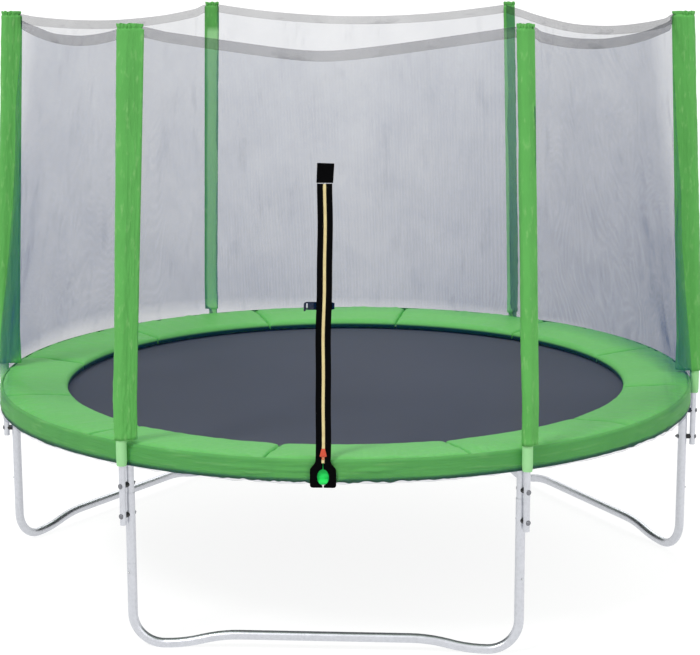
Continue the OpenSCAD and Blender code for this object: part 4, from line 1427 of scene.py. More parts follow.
    def springs(self) -> Piece:
        """Makes a sector's springs with their hooks."""
        z, r, start, end = self.lay.ring_z, self.spring_r, self.coil_in, self.coil_out
        foot, rail = z - self.hook_drop, self.lay.ring_r - self.lay.tube_r
        inner = rounded([(self.hook_r + 0.005, 0, foot), (self.hook_r, 0, foot), (self.hook_r, 0, z),
                         (start - 0.002, 0, z), (start, 0, z + r * 0.7), (start, r, z)], 0.003, 3, False)
        outer = rounded([(end, r, z), (end, 0, z + r * 0.7), (end + 0.002, 0, z), (rail + 0.006, 0, z),
                         (rail + 0.009, 0, z - 0.006)], 0.003, 3, False)
        return self._wire("springs_first", polyline([inner, outer]), self.trees.spring,
                          Wire=self.spring_wire, Facets=5, Turns=self.coil_turns, Coil_radius=r,
                          Coil_length=end - start, Coil_start=[start, 0, z])

    def _wire(self, name: str, path: Shape, tree: Growth, **values: Any) -> Piece:
        """Runs a wire tree for a sector's three springs."""
        return tree.grow(name, path, Slot.PLATED, 40, Count=self.springs_each, **values,
                         Step=math.radians(self.step / self.springs_each),
                         First_turn=math.radians(self._turn(0)))


# -------- pad and skirt


@dataclass
class FramePad:
    """The padded ring over the springs, in segments between its radial seams."""

    lay: Layout
    trees: Trees
    segments: int = 12
    first_seam: float = 21.8
    inner_r: float = 1.2320
    outer_r: float = 1.5210
    low_in: float = 0.7742
    low_out: float = 0.7908
    thick: float = 0.038
    crown: float = 0.004
    rise_w: float = 0.27
    corner: float = 0.011
    knee_r: float = 1.4318
    voxel: float = 0.0095
    swell: float = 0.0055
    frames: int = 20
    pressure: float = 4.0
    variants: int = 3
    seam_pinch: float = 0.009
    seam_w: float = 0.012
    seam_gap: float = 0.0015
    stitch_off: float = 0.0065
    # Painted shade: the inner wall is painted dark below this height.
    wall_z: float = 0.802
    faint: tuple[int, ...] = (4, 6, 7, 9, 10)       # seams that show less

    @property
    def step(self) -> float:
        """Turn of one segment."""
        return 360 / self.segments

    def share(self, r: Any) -> Any:
        """Share of the pad's width at a distance from the axis."""
        return (r - self.inner_r) / (self.outer_r - self.inner_r)

    def top_at(self, r: Any) -> Any:
        """Height of the pad's top at a distance from the axis."""
        rise = (self.low_out - self.low_in) * smoothstep((r - self.inner_r) / self.rise_w)
        return self.low_in + self.thick + rise + self.crown * (1 - (self.share(r) * 2 - 1) ** 2)

    def polar(self, points: np.ndarray) -> tuple[np.ndarray, np.ndarray, np.ndarray]:
        """Distance of points from the axis, their turn in degrees, and their distance from a seam."""
        reach = np.hypot(points[:, 0], points[:, 1])
        turn = np.degrees(np.arctan2(points[:, 1], points[:, 0]))
        return reach, turn, np.radians(self.step / 2 - np.abs(turn)) * reach

    def make(self) -> None:
        """Makes the segments from a few simulated ones, and their seam stitches."""
        shapes = [self._swelled(self._blank(seed), seed) for seed in range(self.variants)]
        for segment in range(self.segments):
            self._finish(shapes[segment % self.variants], segment)
        for shape in shapes:
            bpy.data.meshes.remove(shape)
        self._stitches()

    def _blank(self, seed: int) -> Piece:
        """Makes one closed segment of even faces, about the +X axis, before it is filled.

        Args:
            seed: Number of the variant.

        Returns:
            The segment.
        """
        top = [(r, self.top_at(r)) for r in np.linspace(self.inner_r, self.outer_r, 9)]
        low = [(self.outer_r, self.low_out), (self.knee_r, self.low_out), (self.inner_r, self.low_in)]
        outline = rounded(top + low, self.corner, 6)
        profile = np.column_stack([outline[:, 0], 0 * outline[:, 0], outline[:, 1]])
        half = self.step / 2 - math.degrees(self.seam_gap / self.inner_r)
        rows = np.array([turned(profile, turn) for turn in np.linspace(-half, half, 61)])
        blank = tube(f"pad_blank_{seed}", rows, Slot.PAD)
        remesh = blank.modifiers.new("even", "REMESH")
        remesh.mode, remesh.voxel_size = "VOXEL", self.voxel
        even = baked(blank)
        blank.modifiers.clear()
        coarse, blank.data = blank.data, even
        bpy.data.meshes.remove(coarse)
        return blank

    def _swelled(self, blank: Piece, seed: int) -> Shape:
        """Fills a segment by cloth simulation, held at its seams and its underside.

        Args:
            blank: The segment.
            seed: Number of the variant, which sets where the cover is tight.

        Returns:
            A fine mesh of the filled segment.
        """
        rest = coordinates(blank.data)
        from_seam = self.polar(rest)[2]
        normals = np.zeros(len(rest) * 3)
        blank.data.vertices.foreach_get("normal", normals)
        under = normals.reshape(-1, 3)[:, 2] < -0.5
        tight = Ripples(90 + seed, 0.16, 1.0).height(rest[:, 0], rest[:, 1])
        hold = np.clip(under + (1 - smoothstep(from_seam / 0.02)) + 0.25 * (tight > 0.9), 0, 1)
        group = blank.vertex_groups.new(name="held")
        for i, weight in enumerate(hold):
            group.add([i], float(weight), "REPLACE")
        shift = self._simulate(blank, rest) - rest
        length = np.linalg.norm(shift, axis=1, keepdims=True)
        shift *= np.minimum(1, self.swell / np.maximum(length, 1e-9))
        blank.data.vertices.foreach_set("co", (rest + shift).ravel())
        finer = blank.modifiers.new("finer", "SUBSURF")
        finer.levels = finer.render_levels = 1
        mesh = baked(blank)
        bpy.data.objects.remove(blank)
        return mesh

    def _simulate(self, blank: Piece, rest: np.ndarray) -> np.ndarray:
        """Steps the cloth with air in it.

        Args:
            blank: The segment.
            rest: Its points.

        Returns:
            Its points when it is filled.
        """
        cloth = blank.modifiers.new("cover", "CLOTH")
        cloth.settings.use_pressure = True
        cloth.settings.uniform_pressure_force = self.pressure
        cloth.settings.vertex_group_mass = "held"
        cloth.settings.effector_weights.gravity = 0
        cloth.point_cache.frame_start = 1
        cloth.point_cache.frame_end = self.frames
        for number in range(1, self.frames + 1):
            bpy.context.scene.frame_set(number)
        result = baked(blank)
        moved = coordinates(result)
        bpy.data.meshes.remove(result)
        blank.modifiers.clear()
        bpy.context.scene.frame_set(1)
        return moved if len(moved) == len(rest) else rest

    def _finish(self, shape: Shape, segment: int) -> None:
        """Places a segment, pinches its seams, wrinkles its cover and paints shade on its inner wall.

        Args:
            shape: The filled segment.
            segment: Its number.
        """
        mesh = shape.copy()
        flat = coordinates(mesh)
        reach, turn, from_seam = self.polar(flat)
        arc = np.radians(turn) * self.lay.ring_r
        floor = self.low_in + (self.low_out - self.low_in) * smoothstep((reach - self.inner_r) / 0.2)
        upper = smoothstep((flat[:, 2] - floor) / self.thick * 1.6 - 0.4)
        nearest = (segment + (turn > 0)) % self.segments
        depth = np.where(np.isin(nearest, self.faint), 0.4, 1.0)
        pinch = depth * np.exp(-np.maximum(from_seam, 0) / self.seam_w)
        puckers = Ripples(200 + segment, 0.06, 6).ridges(arc, reach * 0.6)
        soft = Ripples(300 + segment, 0.085, 4).height(arc, reach)
        edge = 0.15 + 1.1 * np.clip(self.share(reach), 0, 1) ** 2
        rise = 0.0018 * soft * edge + 0.0016 * puckers * edge * smoothstep(from_seam / 0.02)
        flat[:, 2] += upper * (rise - self.seam_pinch * pinch)
        # Painted shade: the low part of the pad's inner wall is marked dark.
        wall = smoothstep((self.wall_z - flat[:, 2]) / 0.01)
        mesh.vertices.foreach_set("co", turned(flat, self.first_seam + (segment + 0.5) * self.step).ravel())
        mark(mesh, "dark", wall * smoothstep((self.inner_r + 0.009 - reach) / 0.006))
        made = wrap(f"pad_{segment:02d}", mesh, Slot.PAD)
        place(made, Slot.PAD, "frame_pad")

    def _stitches(self) -> None:
        """Sews two rows of stitches beside each radial seam, on top."""
        radii = np.linspace(self.inner_r + 0.012, self.outer_r - 0.014, 30)
        top = self.top_at(radii) - self.seam_pinch * 0.45
        paths = [turned(np.column_stack([radii, 0 * radii + way, top]), self.first_seam + seam * self.step)
                 for seam in range(self.segments) for way in (-self.stitch_off, self.stitch_off)]
        self.trees.sew("pad_stitches", paths, Slot.PAD, 0.006, (0.0006, 0.0022))


@dataclass
class PadSkirt:
    """The skirt sewn to the pad's outer edge, which hangs over the ring in folds."""

    lay: Layout
    trees: Trees
    edge_r: float = 1.5142
    edge_z: float = 0.8185
    round_r: float = 0.0112
    bottom_z: float = 0.7440
    columns: int = 1080
    drop_rows: int = 14
    wave: float = 0.0052
    bulge: float = 0.0058
    sag: float = 0.0055
    gather_turn: float = 276.0      # middle of the gathered stretch, and half of its length
    gather_half: float = 34.0
    dip_turn: float = 270.5         # where the zip's foot draws the skirt down
    dip_half: float = 1.6
    dip_depth: float = 0.007
    hem_z: float = 0.760
    hem_dark: float = 0.9
    # Painted light: half width of the brighter patch behind the zip's eye.
    fresh_half: float = 0.024
    flat_r: float = 1.526
    cloth: float = 0.0009

    def make(self) -> None:
        """Makes the skirt and the stitches of its hem."""
        turns = np.arange(self.columns) * math.tau / self.columns
        calm = np.sin(turns * SIDES / 2) ** 2
        arc = turns * self.lay.ring_r
        away = np.abs((np.degrees(turns) - self.gather_turn + 180) % 360 - 180)
        gathers = 0.35 + 0.65 * smoothstep(np.clip(1 - away / self.gather_half, 0, 1) * 2)
        dip = np.exp(-((np.degrees(turns) - self.dip_turn) / self.dip_half) ** 2)
        beat = Ripples(11, 0.11, 1).height(arc, 0 * arc)
        fine = Ripples(12, 0.042, 1).height(arc, 0 * arc)
        sag = self.sag * calm * (fine * gathers * 0.55 + 0.5 * beat) * (1 - dip) - self.dip_depth * dip
        rows = []
        for angle in (1 - np.linspace(0, 1, 9)) * math.pi / 2:
            rows.append((np.full(self.columns, self.edge_r + self.round_r * math.cos(angle)),
                         np.full(self.columns, self.edge_z + self.round_r * math.sin(angle))))
        for k in np.linspace(0, 1, self.drop_rows + 1)[1:]:
            level = Ripples(13, 0.30, 0.07).height(arc, np.full(self.columns, k * 0.06)) * gathers
            fold = np.clip(0.5 + 0.32 * beat + 0.25 * fine * gathers, 0, 1.2) * smoothstep(k * 1.2)
            bulge = np.maximum(self.bulge * level * k * (2 - k), -0.0003)
            radius = self.edge_r + self.round_r + 0.0002 + calm * (self.wave * fold + bulge)
            rows.append((radius, self.edge_z + (self.bottom_z + sag - self.edge_z) * k))
        grid = np.array([np.column_stack([r * np.cos(turns), r * np.sin(turns), z]) for r, z in rows])
        down = run(grid[:, 0])
        uv = chart(np.linspace(0, math.tau * self.lay.ring_r, self.columns + 1), down)
        skirt = loft("skirt", grid, Slot.SKIRT, uv, closed=True, flip=True)
        spots = coordinates(skirt.data)
        # The skirt's lowest band, below hem_z, is painted darker.
        mark(skirt.data, "dark", self.hem_dark * smoothstep((self.hem_z - spots[:, 2]) / 0.007))
        # Painted light: the skirt behind the zip's eye is marked for a brighter green.
        by_zip = np.abs(spots[:, 0] - self.lay.zip_x) < self.fresh_half
        mark(skirt.data, "fresh", by_zip & (spots[:, 1] < 0))
        thicken(skirt, self.cloth, -1.0)
        place(skirt, Slot.SKIRT, "pad_skirt")
        lines = [grid[row] * np.array([1.0004, 1.0004, 1]) for row in (-3, 8)]
        self.trees.sew("skirt_stitches", lines, Slot.SKIRT, 0.007, (0.0005, 0.0024), closed=True)


# -------- net


@dataclass
class SafetyNet:
    """Six panels of fine net and the folded hem along their tops."""

    lay: Layout
    trees: Trees
    sleeves: PoleSleeves
    columns: int = 128
    rows: int = 84
    pull_w: float = 0.15
    pull_z: float = 0.836
    bottom_z: float = 0.7420
    turn_up: float = 0.024
    reach_in: float = 0.010
    slot: float = 0.0016
    foot_slot: float = 0.022
    hem_t: float = 0.0030
    stations: int = 90
    sewn_w: float = 0.07
    gather_at: float = 0.56
    gather_w: float = 0.09
    thin_w: float = 0.25
    slack: dict[int, int] = field(default_factory=lambda: {3: -1, 5: 1})    # sides with one slack end

    def surface(self, side: int, u: np.ndarray, z_share: np.ndarray) -> np.ndarray:
        """Points of a panel about its middle, above the pad.

        Args:
            side: Number of the side.
            u: Places from -1 to 1 along the side.
            z_share: Shares of the height from the pad to the hem.

        Returns:
            Points.
        """
        out, along = self.lay.net_low(np.clip(u, -1, 1))
        apothem, half = self.lay.seam_top
        x = out + (apothem - out) * z_share
        y = along + (u * half - along) * z_share
        z = self.lay.edge_z + (self.lay.hem_low(u, side) - self.lay.edge_z) * z_share
        beyond = np.sign(u) * np.maximum(np.abs(u) - 1, 0) * half
        return np.stack(np.broadcast_arrays(x, y + beyond * (1 - z_share), z), axis=2)

    def pull(self, side: int, u: np.ndarray, z: np.ndarray) -> np.ndarray:
        """How far a side's ends are drawn from the poles' flanks into the sleeves' folds.

        Args:
            side: Number of the side.
            u: Places along the side.
            z: Heights, one for each row.

        Returns:
            Shifts out and sideways, about the side's middle, for each row and place.
        """
        shift = np.zeros((len(z), len(u), 2))
        middle = math.radians((side + 0.5) * SIDE_ANGLE)
        apothem, half = self.lay.seam_top
        share = (z - self.lay.edge_z) / (self.lay.hem_end_z - self.lay.edge_z)
        lift = smoothstep((z - self.pull_z) / 0.05)
        for end, pole in ((-1, side), (1, (side + 1) % SIDES)):
            heading = math.radians(self.sleeves.sleeves[pole].heading) - middle
            if -end * math.sin(heading) < 0.2:
                continue
            x, y = self.sleeves.fold_at(pole, z).T
            aim = np.stack([x * math.cos(middle) + y * math.sin(middle),
                            y * math.cos(middle) - x * math.sin(middle)], axis=-1)
            out, along = self.lay.net_low(float(end))
            start = np.stack([out + (apothem - out) * share, along + (end * half - along) * share], axis=-1)
            near = smoothstep((u * end - 1) * half / self.pull_w + 1)
            shift += ((aim - start) * lift[:, None])[:, None, :] * near[None, :, None]
        return shift

    def make(self) -> None:
        """Makes the hem's lengths and the panels."""
        hems = [self._hem(side) for side in range(SIDES)]
        for side in range(SIDES):
            self._panel(side)

    def _across(self, count: int) -> np.ndarray:
        """Places along a side, from just inside one sleeve's fold to the other's."""
        end = 1 + self.reach_in / self.lay.seam_top[1]
        return np.linspace(-end, end, count)

    def _panel(self, side: int) -> None:
        """Makes one panel, doubled along its lower edge, with a slot behind the zip in front.

        Args:
            side: Number of the side.
        """
        half, u = self.lay.seam_top[1], self._across(self.columns)
        if side == FRONT:
            cut = self.lay.zip_x / half
            u = np.sort([*u[np.abs(u - cut) > 0.004], cut - self.slot / half, cut + self.slot / half])
        z_share = np.linspace(0, 1, self.rows)[:, None]
        above = self.surface(side, u[None, :], z_share)
        along, up = u[None, :] * half, above[..., 2]
        held = smoothstep(z_share * 6) * smoothstep((1 - z_share) * 5)
        near_pole = np.exp(-(1 - np.abs(u)) / 0.07)[None, :]
        soft = Ripples(500 + side, 0.55, 1.6).height(along, up) * 0.0060
        creases = Ripples(520 + side, 0.16, 5).ridges(along, up) * 0.0030
        pulls = Ripples(540 + side, 0.05, 7).height(along, up) * near_pole * 0.0035
        push = (soft + creases + pulls) * held
        if side == FRONT:
            push *= smoothstep(np.abs(along - self.lay.zip_x) / 0.10 - 0.3)
        above[..., 0] += push
        above[..., :2] += self.pull(side, u, above[:, 0, 2])
        ripple = Ripples(560 + side, 0.10, 1).height(u * half, 0 * u) * 0.0012 * (1 - u ** 8)
        low = self.bottom_z + 0.003 * Ripples(580 + side, 0.09, 1).height(u * half, 0 * u)
        turn_up = self.turn_up
        doubled = ((turn_up, 0.0012), (turn_up * 0.5, 0.0013), (0.0015, 0.0012), (0.0, 0.0006),
                   (0.0015, 0.0), (turn_up * 0.5, 0.0), (turn_up, 0.0))
        levels = [(out + ripple * (1 - rise / 0.05), low + rise) for rise, out in doubled]
        levels += [(0, low + turn_up + (self.lay.edge_z - low - turn_up) * k) for k in (0.5, 0.75, 0.9)]
        hanging = np.repeat(above[:1], len(levels), axis=0)
        for row, (out, height) in zip(hanging, levels):
            row[:, 0] += out
            row[:, 2] = height
        grid = np.concatenate([hanging, above])
        lengths = run(grid[:, len(u) // 3])
        grid = turned(grid, (side + 0.5) * SIDE_ANGLE)
        panel = loft("net_" + PANELS[side], grid, Slot.NET, chart(u * half, lengths))
        tight = np.append(np.zeros(len(levels)), smoothstep(1.6 - 2 * z_share))[:, None]
        inset = (1 - u * self.slack.get(side, 0)) * half
        gather = tight * np.exp(-((inset - self.gather_at) / self.gather_w) ** 2)
        mark(panel.data, "dark", (gather - smoothstep(1.6 - inset / self.thin_w)) * (side in self.slack))
        if side == FRONT:
            self._cut_slot(panel.data)
        place(panel, Slot.NET, "net_panel_" + PANELS[side])

    def _cut_slot(self, mesh: Shape) -> None:
        """Opens a panel behind the zip, and wider behind the zip's foot.

        Args:
            mesh: The panel's mesh.
        """
        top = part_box("zip_tab")[0].z + 0.02
        work = bmesh.new()
        work.from_mesh(mesh)
        gone = []
        for face in work.faces:
            middle = face.calc_center_median()
            half = self.slot * 0.9 if middle.z > self.lay.edge_z - 0.02 else self.foot_slot
            if middle.z < top and abs(middle.x - self.lay.zip_x) < half:
                gone.append(face)
        bmesh.ops.delete(work, geom=gone, context="FACES")
        work.to_mesh(mesh)
        work.free()

    def _hem(self, side: int) -> Piece:
        """Makes one length of the folded hem.

        Args:
            side: Number of its side.

        Returns:
            The hem.
        """
        apothem, half = self.lay.seam_top
        high, t = self.lay.hem_h, self.hem_t / 2
        section = rounded([(t, 0.0), (t, high), (-t, high), (-t, 0.0)], t * 0.9, 3)
        section = np.array([p for a, b in zip(section, np.roll(section, -1, axis=0))
                            for p in (np.linspace(a, b, 5)[:-1] if np.linalg.norm(b - a) > 0.01 else [a])])
        out, up = section.T
        folds, share = Ripples(600 + side, 0.05, 3), up / high
        rows = []
        for u in self._across(self.stations):
            sway = 0.006 * math.sin(math.radians(540 * u)) * (1 - min(1, u ** 2))
            crinkle = folds.height(np.full(len(up), u * half), up) * 0.0009
            z = float(self.lay.hem_low(np.clip(u, -1, 1), side)) + up
            shift = self.pull(side, np.array([u]), z)[:, 0]
            x = apothem + out * (1.15 - 0.3 * share) - share * sway + crinkle
            rows.append(np.column_stack([x + shift[:, 0], u * half + shift[:, 1], z]))
        uv = chart(run(section, True), self._across(self.stations) * half)
        middle = (side + 0.5) * SIDE_ANGLE
        hem = tube("hem_" + PANELS[side], turned(np.array(rows), middle), Slot.HEM, uv)
        place(hem, Slot.HEM, "net_hem")
        sewn = np.argmin(np.abs(up - 0.006) + (out < 0))
        seam = np.array([row[sewn] for row in rows]) + np.array([0.0003, 0, 0])
        self.trees.sew(hem.name + "_stitches", [turned(seam, middle)], Slot.HEM, 0.008, (0.0006, 0.0028))
        return hem


# -------- zip entrance


@dataclass
class ZipEntrance:
    """Tapes, teeth, slider, top tab and the buckle behind them."""

    lay: Layout
    trees: Trees
    width: float = 0.057
    gap: float = 0.002
    tape_t: float = 0.0012
    tape_off: float = 0.0009
    chain_w: float = 0.013
    chain_t: float = 0.0022
    chain_off: float = 0.0024
    strip_t: float = 0.0012
    tooth_pitch: float = 0.0042
    tooth_r: float = 0.00105
    bell_w: float = 0.098
    bell_r: float = 0.010
    bell_slope: float = 0.022
    eye_w: float = 0.044
    eye_h: float = 0.062
    eye_rim: float = 0.009
    bottom_z: float = 0.727
    slider_z: float = 0.848
    slider_len: float = 0.026
    tab: tuple[float, float] = (0.068, 0.072)
    tab_t: float = 0.0026
    buckle_z: float = 1.393
    buckle: tuple[float, float, float] = (0.112, 0.030, 0.009)
    buckle_x: float = -0.019
    buckle_in: float = -0.0124
    shell_t: float = 0.0028
    seat_x: float = 0.006
    strap: tuple[float, float, float] = (0.002, 0.0385, 0.0016)
    strap_in: float = 0.0015

    def __post_init__(self) -> None:
        """Works out the zip's own axes: sideways, up the zip and outwards."""
        tilt = self.lay.zip_tilt
        self.up = np.array([0, math.sin(tilt), math.cos(tilt)])
        self.out = np.array([0, -math.cos(tilt), math.sin(tilt)])
        self.origin = np.array([self.lay.zip_x, -self.lay.net_r - self.lay.net_bulge, self.lay.edge_z])
        self.length = self.along(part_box("zip_chain")[1].z)
        self.buckle_at = (self.buckle_x, self.along(self.buckle_z))

    def along(self, z: float) -> float:
        """Distance up the zip at a height."""
        return (z - self.lay.edge_z) / math.cos(self.lay.zip_tilt)

    def wobble(self, y: Any) -> Any:
        """How far the sewn zip strays sideways."""
        return 0.0016 * np.sin(np.asarray(y) * 9.0 + 0.7) + 0.0008 * np.sin(np.asarray(y) * 23.0)

    def laid(self, local: np.ndarray, straight: bool = False) -> np.ndarray:
        """Turns places sideways, up the zip and outwards into places in the frame.

        Args:
            local: Points, with the last axis x, y and outwards.
            straight: Whether the zip's stray is left out.

        Returns:
            The points in the frame.
        """
        local = np.asarray(local, float)
        x = local[..., 0] + (0 if straight else self.wobble(local[..., 1]))
        return (self.origin + x[..., None] * np.array([1.0, 0, 0]) + local[..., 1:2] * self.up
                + local[..., 2:3] * self.out)

    def make(self) -> None:
        """Makes every piece of the entrance."""
        for part in (self.tapes, self.chain, self.slider, self.top_tab, self.straps, self.socket,
                     self.tongue):
            part()

    def _half_width(self, z: float) -> float:
        """Outer half width of the tapes at a height."""
        half, bell = self.width / 2, self.bell_w / 2
        top = self.lay.edge_z - 0.0035
        flare = half + (bell - half) * smoothstep((top + 0.014 - z) / (self.bell_slope + 0.014))
        low = np.clip((z - self.bottom_z) / self.bell_r, 0, 1)
        return flare - self.bell_r * (1 - np.sqrt(np.clip(1 - (1 - low) ** 2, 0, 1)))

    def _inner_edge(self, z: float) -> float:
        """Inner edge of the tapes at a height: beside the teeth, and round the eye."""
        middle = self.bottom_z + self.eye_rim + self.eye_h / 2
        share = np.clip(1 - ((z - middle) / (self.eye_h / 2)) ** 2, 0, 1)
        return np.maximum(self.gap, self.eye_w / 2 * np.sqrt(share))

    def tapes(self) -> None:
        """Makes the two tapes with their flared end, and their stitches."""
        edge_z, low, round_h, n = self.lay.edge_z, self.bottom_z, 0.012, 9
        upper = np.linspace(self.length, 0.004, 150)
        heights = np.concatenate([edge_z + upper * math.cos(self.lay.zip_tilt),
                                  np.linspace(edge_z - 0.002, low + round_h, 50),
                                  low + round_h * (1 - np.sin(np.linspace(0.1, math.pi / 2, 12)))])
        front = self.origin[1] - self.tape_off - self.tape_t
        stray = float(self.wobble(0)) + self.lay.zip_x
        lengths = [np.linspace(0, 0.026, n), np.linspace(0.026, 0, n), [0]]
        seams = []
        for side, name in ((-1, "left"), (1, "right")):
            rows = []
            for i, z in enumerate(heights):
                across = np.linspace(float(self._inner_edge(z)), float(self._half_width(z)), n)
                x = side * np.concatenate([across, across[::-1]])
                pile = 0.0006 * np.sin(np.linspace(0, math.pi, n)) + 0.0004 * math.sin(i * 0.55)
                if i < len(upper):
                    out = np.concatenate([self.tape_off + self.tape_t + pile, np.full(n, self.tape_off)])
                    rows.append(self.laid(np.column_stack([x, np.full(2 * n, upper[i]), out])))
                else:
                    y = np.concatenate([front - 0.0006 - pile, np.full(n, front + self.tape_t)])
                    rows.append(np.column_stack([stray + x, y, np.full(2 * n, z)]))
            rings = np.array(rows)
            uv = chart(np.concatenate(lengths), run(rings[:, 4]))
            tape = tube("tape_" + name, rings, Slot.WEBBING, uv, sharp=60)
            place(tape, Slot.WEBBING, "zip_tapes")
            seams.append(rings[:, 7] + np.array([0, -0.0003, 0]))
        self.trees.sew("tape_stitches", seams, Slot.WEBBING, 0.005, (0.0005, 0.0017))

    def chain(self) -> None:
        """Makes the zip's coil: two rows of teeth on a narrow strip."""
        half, t, w, h = self.chain_w / 2, self.chain_t, self.chain_w / 2 * 0.8, self.strip_t
        turns = (np.arange(8) + 0.5) * math.tau / 8
        tooth = Parts()
        tooth.skin(np.array([
            np.column_stack([np.full(8, x), self.tooth_r * a * np.cos(turns), t / 2 * b * np.sin(turns)])
            for x, a, b in ((-0.0006, 0.5, 0.5), (0.0004, 1.0, 1.0), (half * 0.55, 0.85, 1.0),
                            (half * 0.9, 0.75, 0.8), (half, 0.3, 0.35))]))
        count = int(self.length / self.tooth_pitch * 2) - 2
        teeth = self.trees.tooth.grow("chain", tooth.mesh("tooth"), Slot.CHAIN, 60, Count=count,
                                      Pitch=self.tooth_pitch, Start=[0.0, 0.004, 0.0])
        local = coordinates(teeth.data)
        local[:, 2] += self.chain_off + t / 2
        teeth.data.vertices.foreach_set("co", self.laid(local).ravel())
        x, out = rounded([(w, 0.0), (w, h), (-w, h), (-w, 0.0)], 0.0005, 2).T
        rows = np.array([self.laid(np.column_stack([x, np.full(len(x), y), self.chain_off + out]))
                         for y in np.linspace(0.003, self.length - 0.002, 120)])
        join(teeth, [tube("chain_strip", rows, Slot.CHAIN, sharp=50)])
        place(teeth, Slot.CHAIN, "zip_chain")

    def slab(self, name: str, outline: Any, span: tuple[float, float], slot: Slot, corner: float = 0.001,
             edge: float = 0.0004, holes: Sequence[Any] = (), at: tuple[float, float] = (0.0, 0.0)) -> Piece:
        """Makes a flat piece on the zip with rounded corners and edges.

        Args:
            name: Name of the piece.
            outline: Its corners, sideways and up the zip.
            span: Outward places of its back and front.
            slot: Material slot.
            corner: Radius of its corners.
            edge: Width of its rounded edges.
            holes: Corners of each hole through it.
            at: What the corners are measured from.

        Returns:
            The piece, in its place.
        """
        curve = bpy.data.curves.new(name, "CURVE")
        curve.dimensions = "2D"
        curve.fill_mode = "BOTH"
        curve.extrude = (span[1] - span[0]) / 2 - edge
        curve.bevel_depth = edge
        curve.bevel_resolution = 2
        curve.offset = -edge
        for corners, radius in [(outline, corner)] + [(hole, corner * 0.5) for hole in holes]:
            points = rounded(np.array(corners) + np.array(at), radius, 5)
            spline = curve.splines.new("POLY")
            spline.points.add(len(points) - 1)
            for point, (x, y) in zip(spline.points, points):
                point.co = (x, y, 0, 1)
            spline.use_cyclic_u = True
        shape = linked(name + "_curve", curve)
        mesh = baked(shape)
        bpy.data.objects.remove(shape)
        bpy.data.curves.remove(curve)
        local = coordinates(mesh)
        local[:, 2] += sum(span) / 2
        mesh.vertices.foreach_set("co", self.laid(local, True).ravel())
        return wrap(name, outward(mesh), slot, 40)

    def built(self, body: Body, slot: Slot, node: str, at: tuple[float, float],
              slabs: Sequence[Sequence[Any]]) -> None:
        """Joins slabs into one piece, named as the first of them, and places it.

        Args:
            body: The body that carries it.
            slot: Material slot.
            node: The CAD node that it stands for.
            at: What the slabs' corners are measured from.
            slabs: Name, outline, span, corner, edge and holes of each slab.
        """
        first, *others = [self.slab(name, outline, span, slot, *rest, at=at)
                          for name, outline, span, *rest in slabs]
        join(first, others)
        place(first, slot, node, body=body)

    def slider(self) -> None:
        """Makes the slider: a notched body on a wider foot, with its bridge and pull."""
        y, n = self.along(self.slider_z), self.slider_len
        body = [(-0.0065, n), (0.0065, n), (0.0125, 0.002), (0.0125, -0.004), (0.0055, -0.004), (0, 0.008),
                (-0.0055, -0.004), (-0.0125, -0.004), (-0.0125, 0.002)]
        post = [(-0.003, n - 0.002), (0.003, n - 0.002), (0, 0.012)]
        pull = [(-0.0035, 0.014), (0.0035, 0.014), (0.0055, -0.014), (-0.0055, -0.014)]
        hole = [(-0.0025, -0.005), (-0.003, -0.011), (0.003, -0.011), (0.0025, -0.005)]
        self.built(Body.SLIDER, Slot.SLIDER, "zip_slider", (float(self.wobble(y)), y), (
            ("slider", body, (0.0049, 0.0073), 0.002, 0.0008),
            ("slider_back", body, (0.0024, 0.0034), 0.002, 0.0008),
            ("slider_post", post, (0.0026, 0.0060)),
            ("slider_bridge", oblong(-0.002, 0.002, 0.020, 0.010), (0.0068, 0.0094), 0.0008),
            ("slider_pull", pull, (0.0076, 0.0089), 0.0025, 0.0004, (hole,))))

    def top_tab(self) -> None:
        """Makes the patch over the zip's top end, sewn on slightly askew."""
        w, h = self.tab
        y, front = self.along(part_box("zip_tab")[0].z) + 0.001, self.tape_off + self.tab_t
        outline = np.array([(-w / 2 + 0.002, y), (w / 2 - 0.004, y), (w / 2, y + h),
                            (-w / 2 + 0.004, y + h + 0.002)])
        patch = self.slab("top_tab", outline, (self.tape_off, front), Slot.WEBBING, 0.002, 0.0008)
        self._unwrap(patch)
        place(patch, Slot.WEBBING, "zip_tab")
        inset = outline + np.array([(0.004, 0.004), (-0.004, 0.004), (-0.004, -0.004), (0.004, -0.004)])
        paths = [self.laid(np.column_stack([line, np.full(len(line), front + 0.0001)]), True)
                 for line in (inset[[0, 1, 2, 3, 0, 2]], inset[[1, 3]])]
        self.trees.sew("tab_stitches", paths, Slot.WEBBING, 0.004, (0.0005, 0.0014))

    def _unwrap(self, thing: Piece) -> None:
        """Gives a flat piece UVs along the zip's own axes.

        Args:
            thing: The piece.
        """
        local = coordinates(thing.data) - self.origin
        pairs = np.stack([local[:, 0], local @ self.up], axis=1)
        corners = np.zeros(len(thing.data.loops), int)
        thing.data.loops.foreach_get("vertex_index", corners)
        thing.data.uv_layers.new(name="UVMap").data.foreach_set("uv", pairs[corners].ravel())

    def straps(self) -> None:
        """Makes the straps that hold the buckle's halves, behind the tapes."""
        inner, outer, t = self.strap
        y, half = self.along(self.buckle_z), (self.buckle[1] - 0.006) / 2
        for side, name in ((-1, "left"), (1, "right")):
            outline = oblong(side * inner, side * outer, y - half, y + half)
            strap = self.slab("strap_" + name, outline, (-self.strap_in - t, -self.strap_in), Slot.WEBBING,
                              edge=0.0005)
            self._unwrap(strap)
            place(strap, Slot.WEBBING, "buckle_straps")

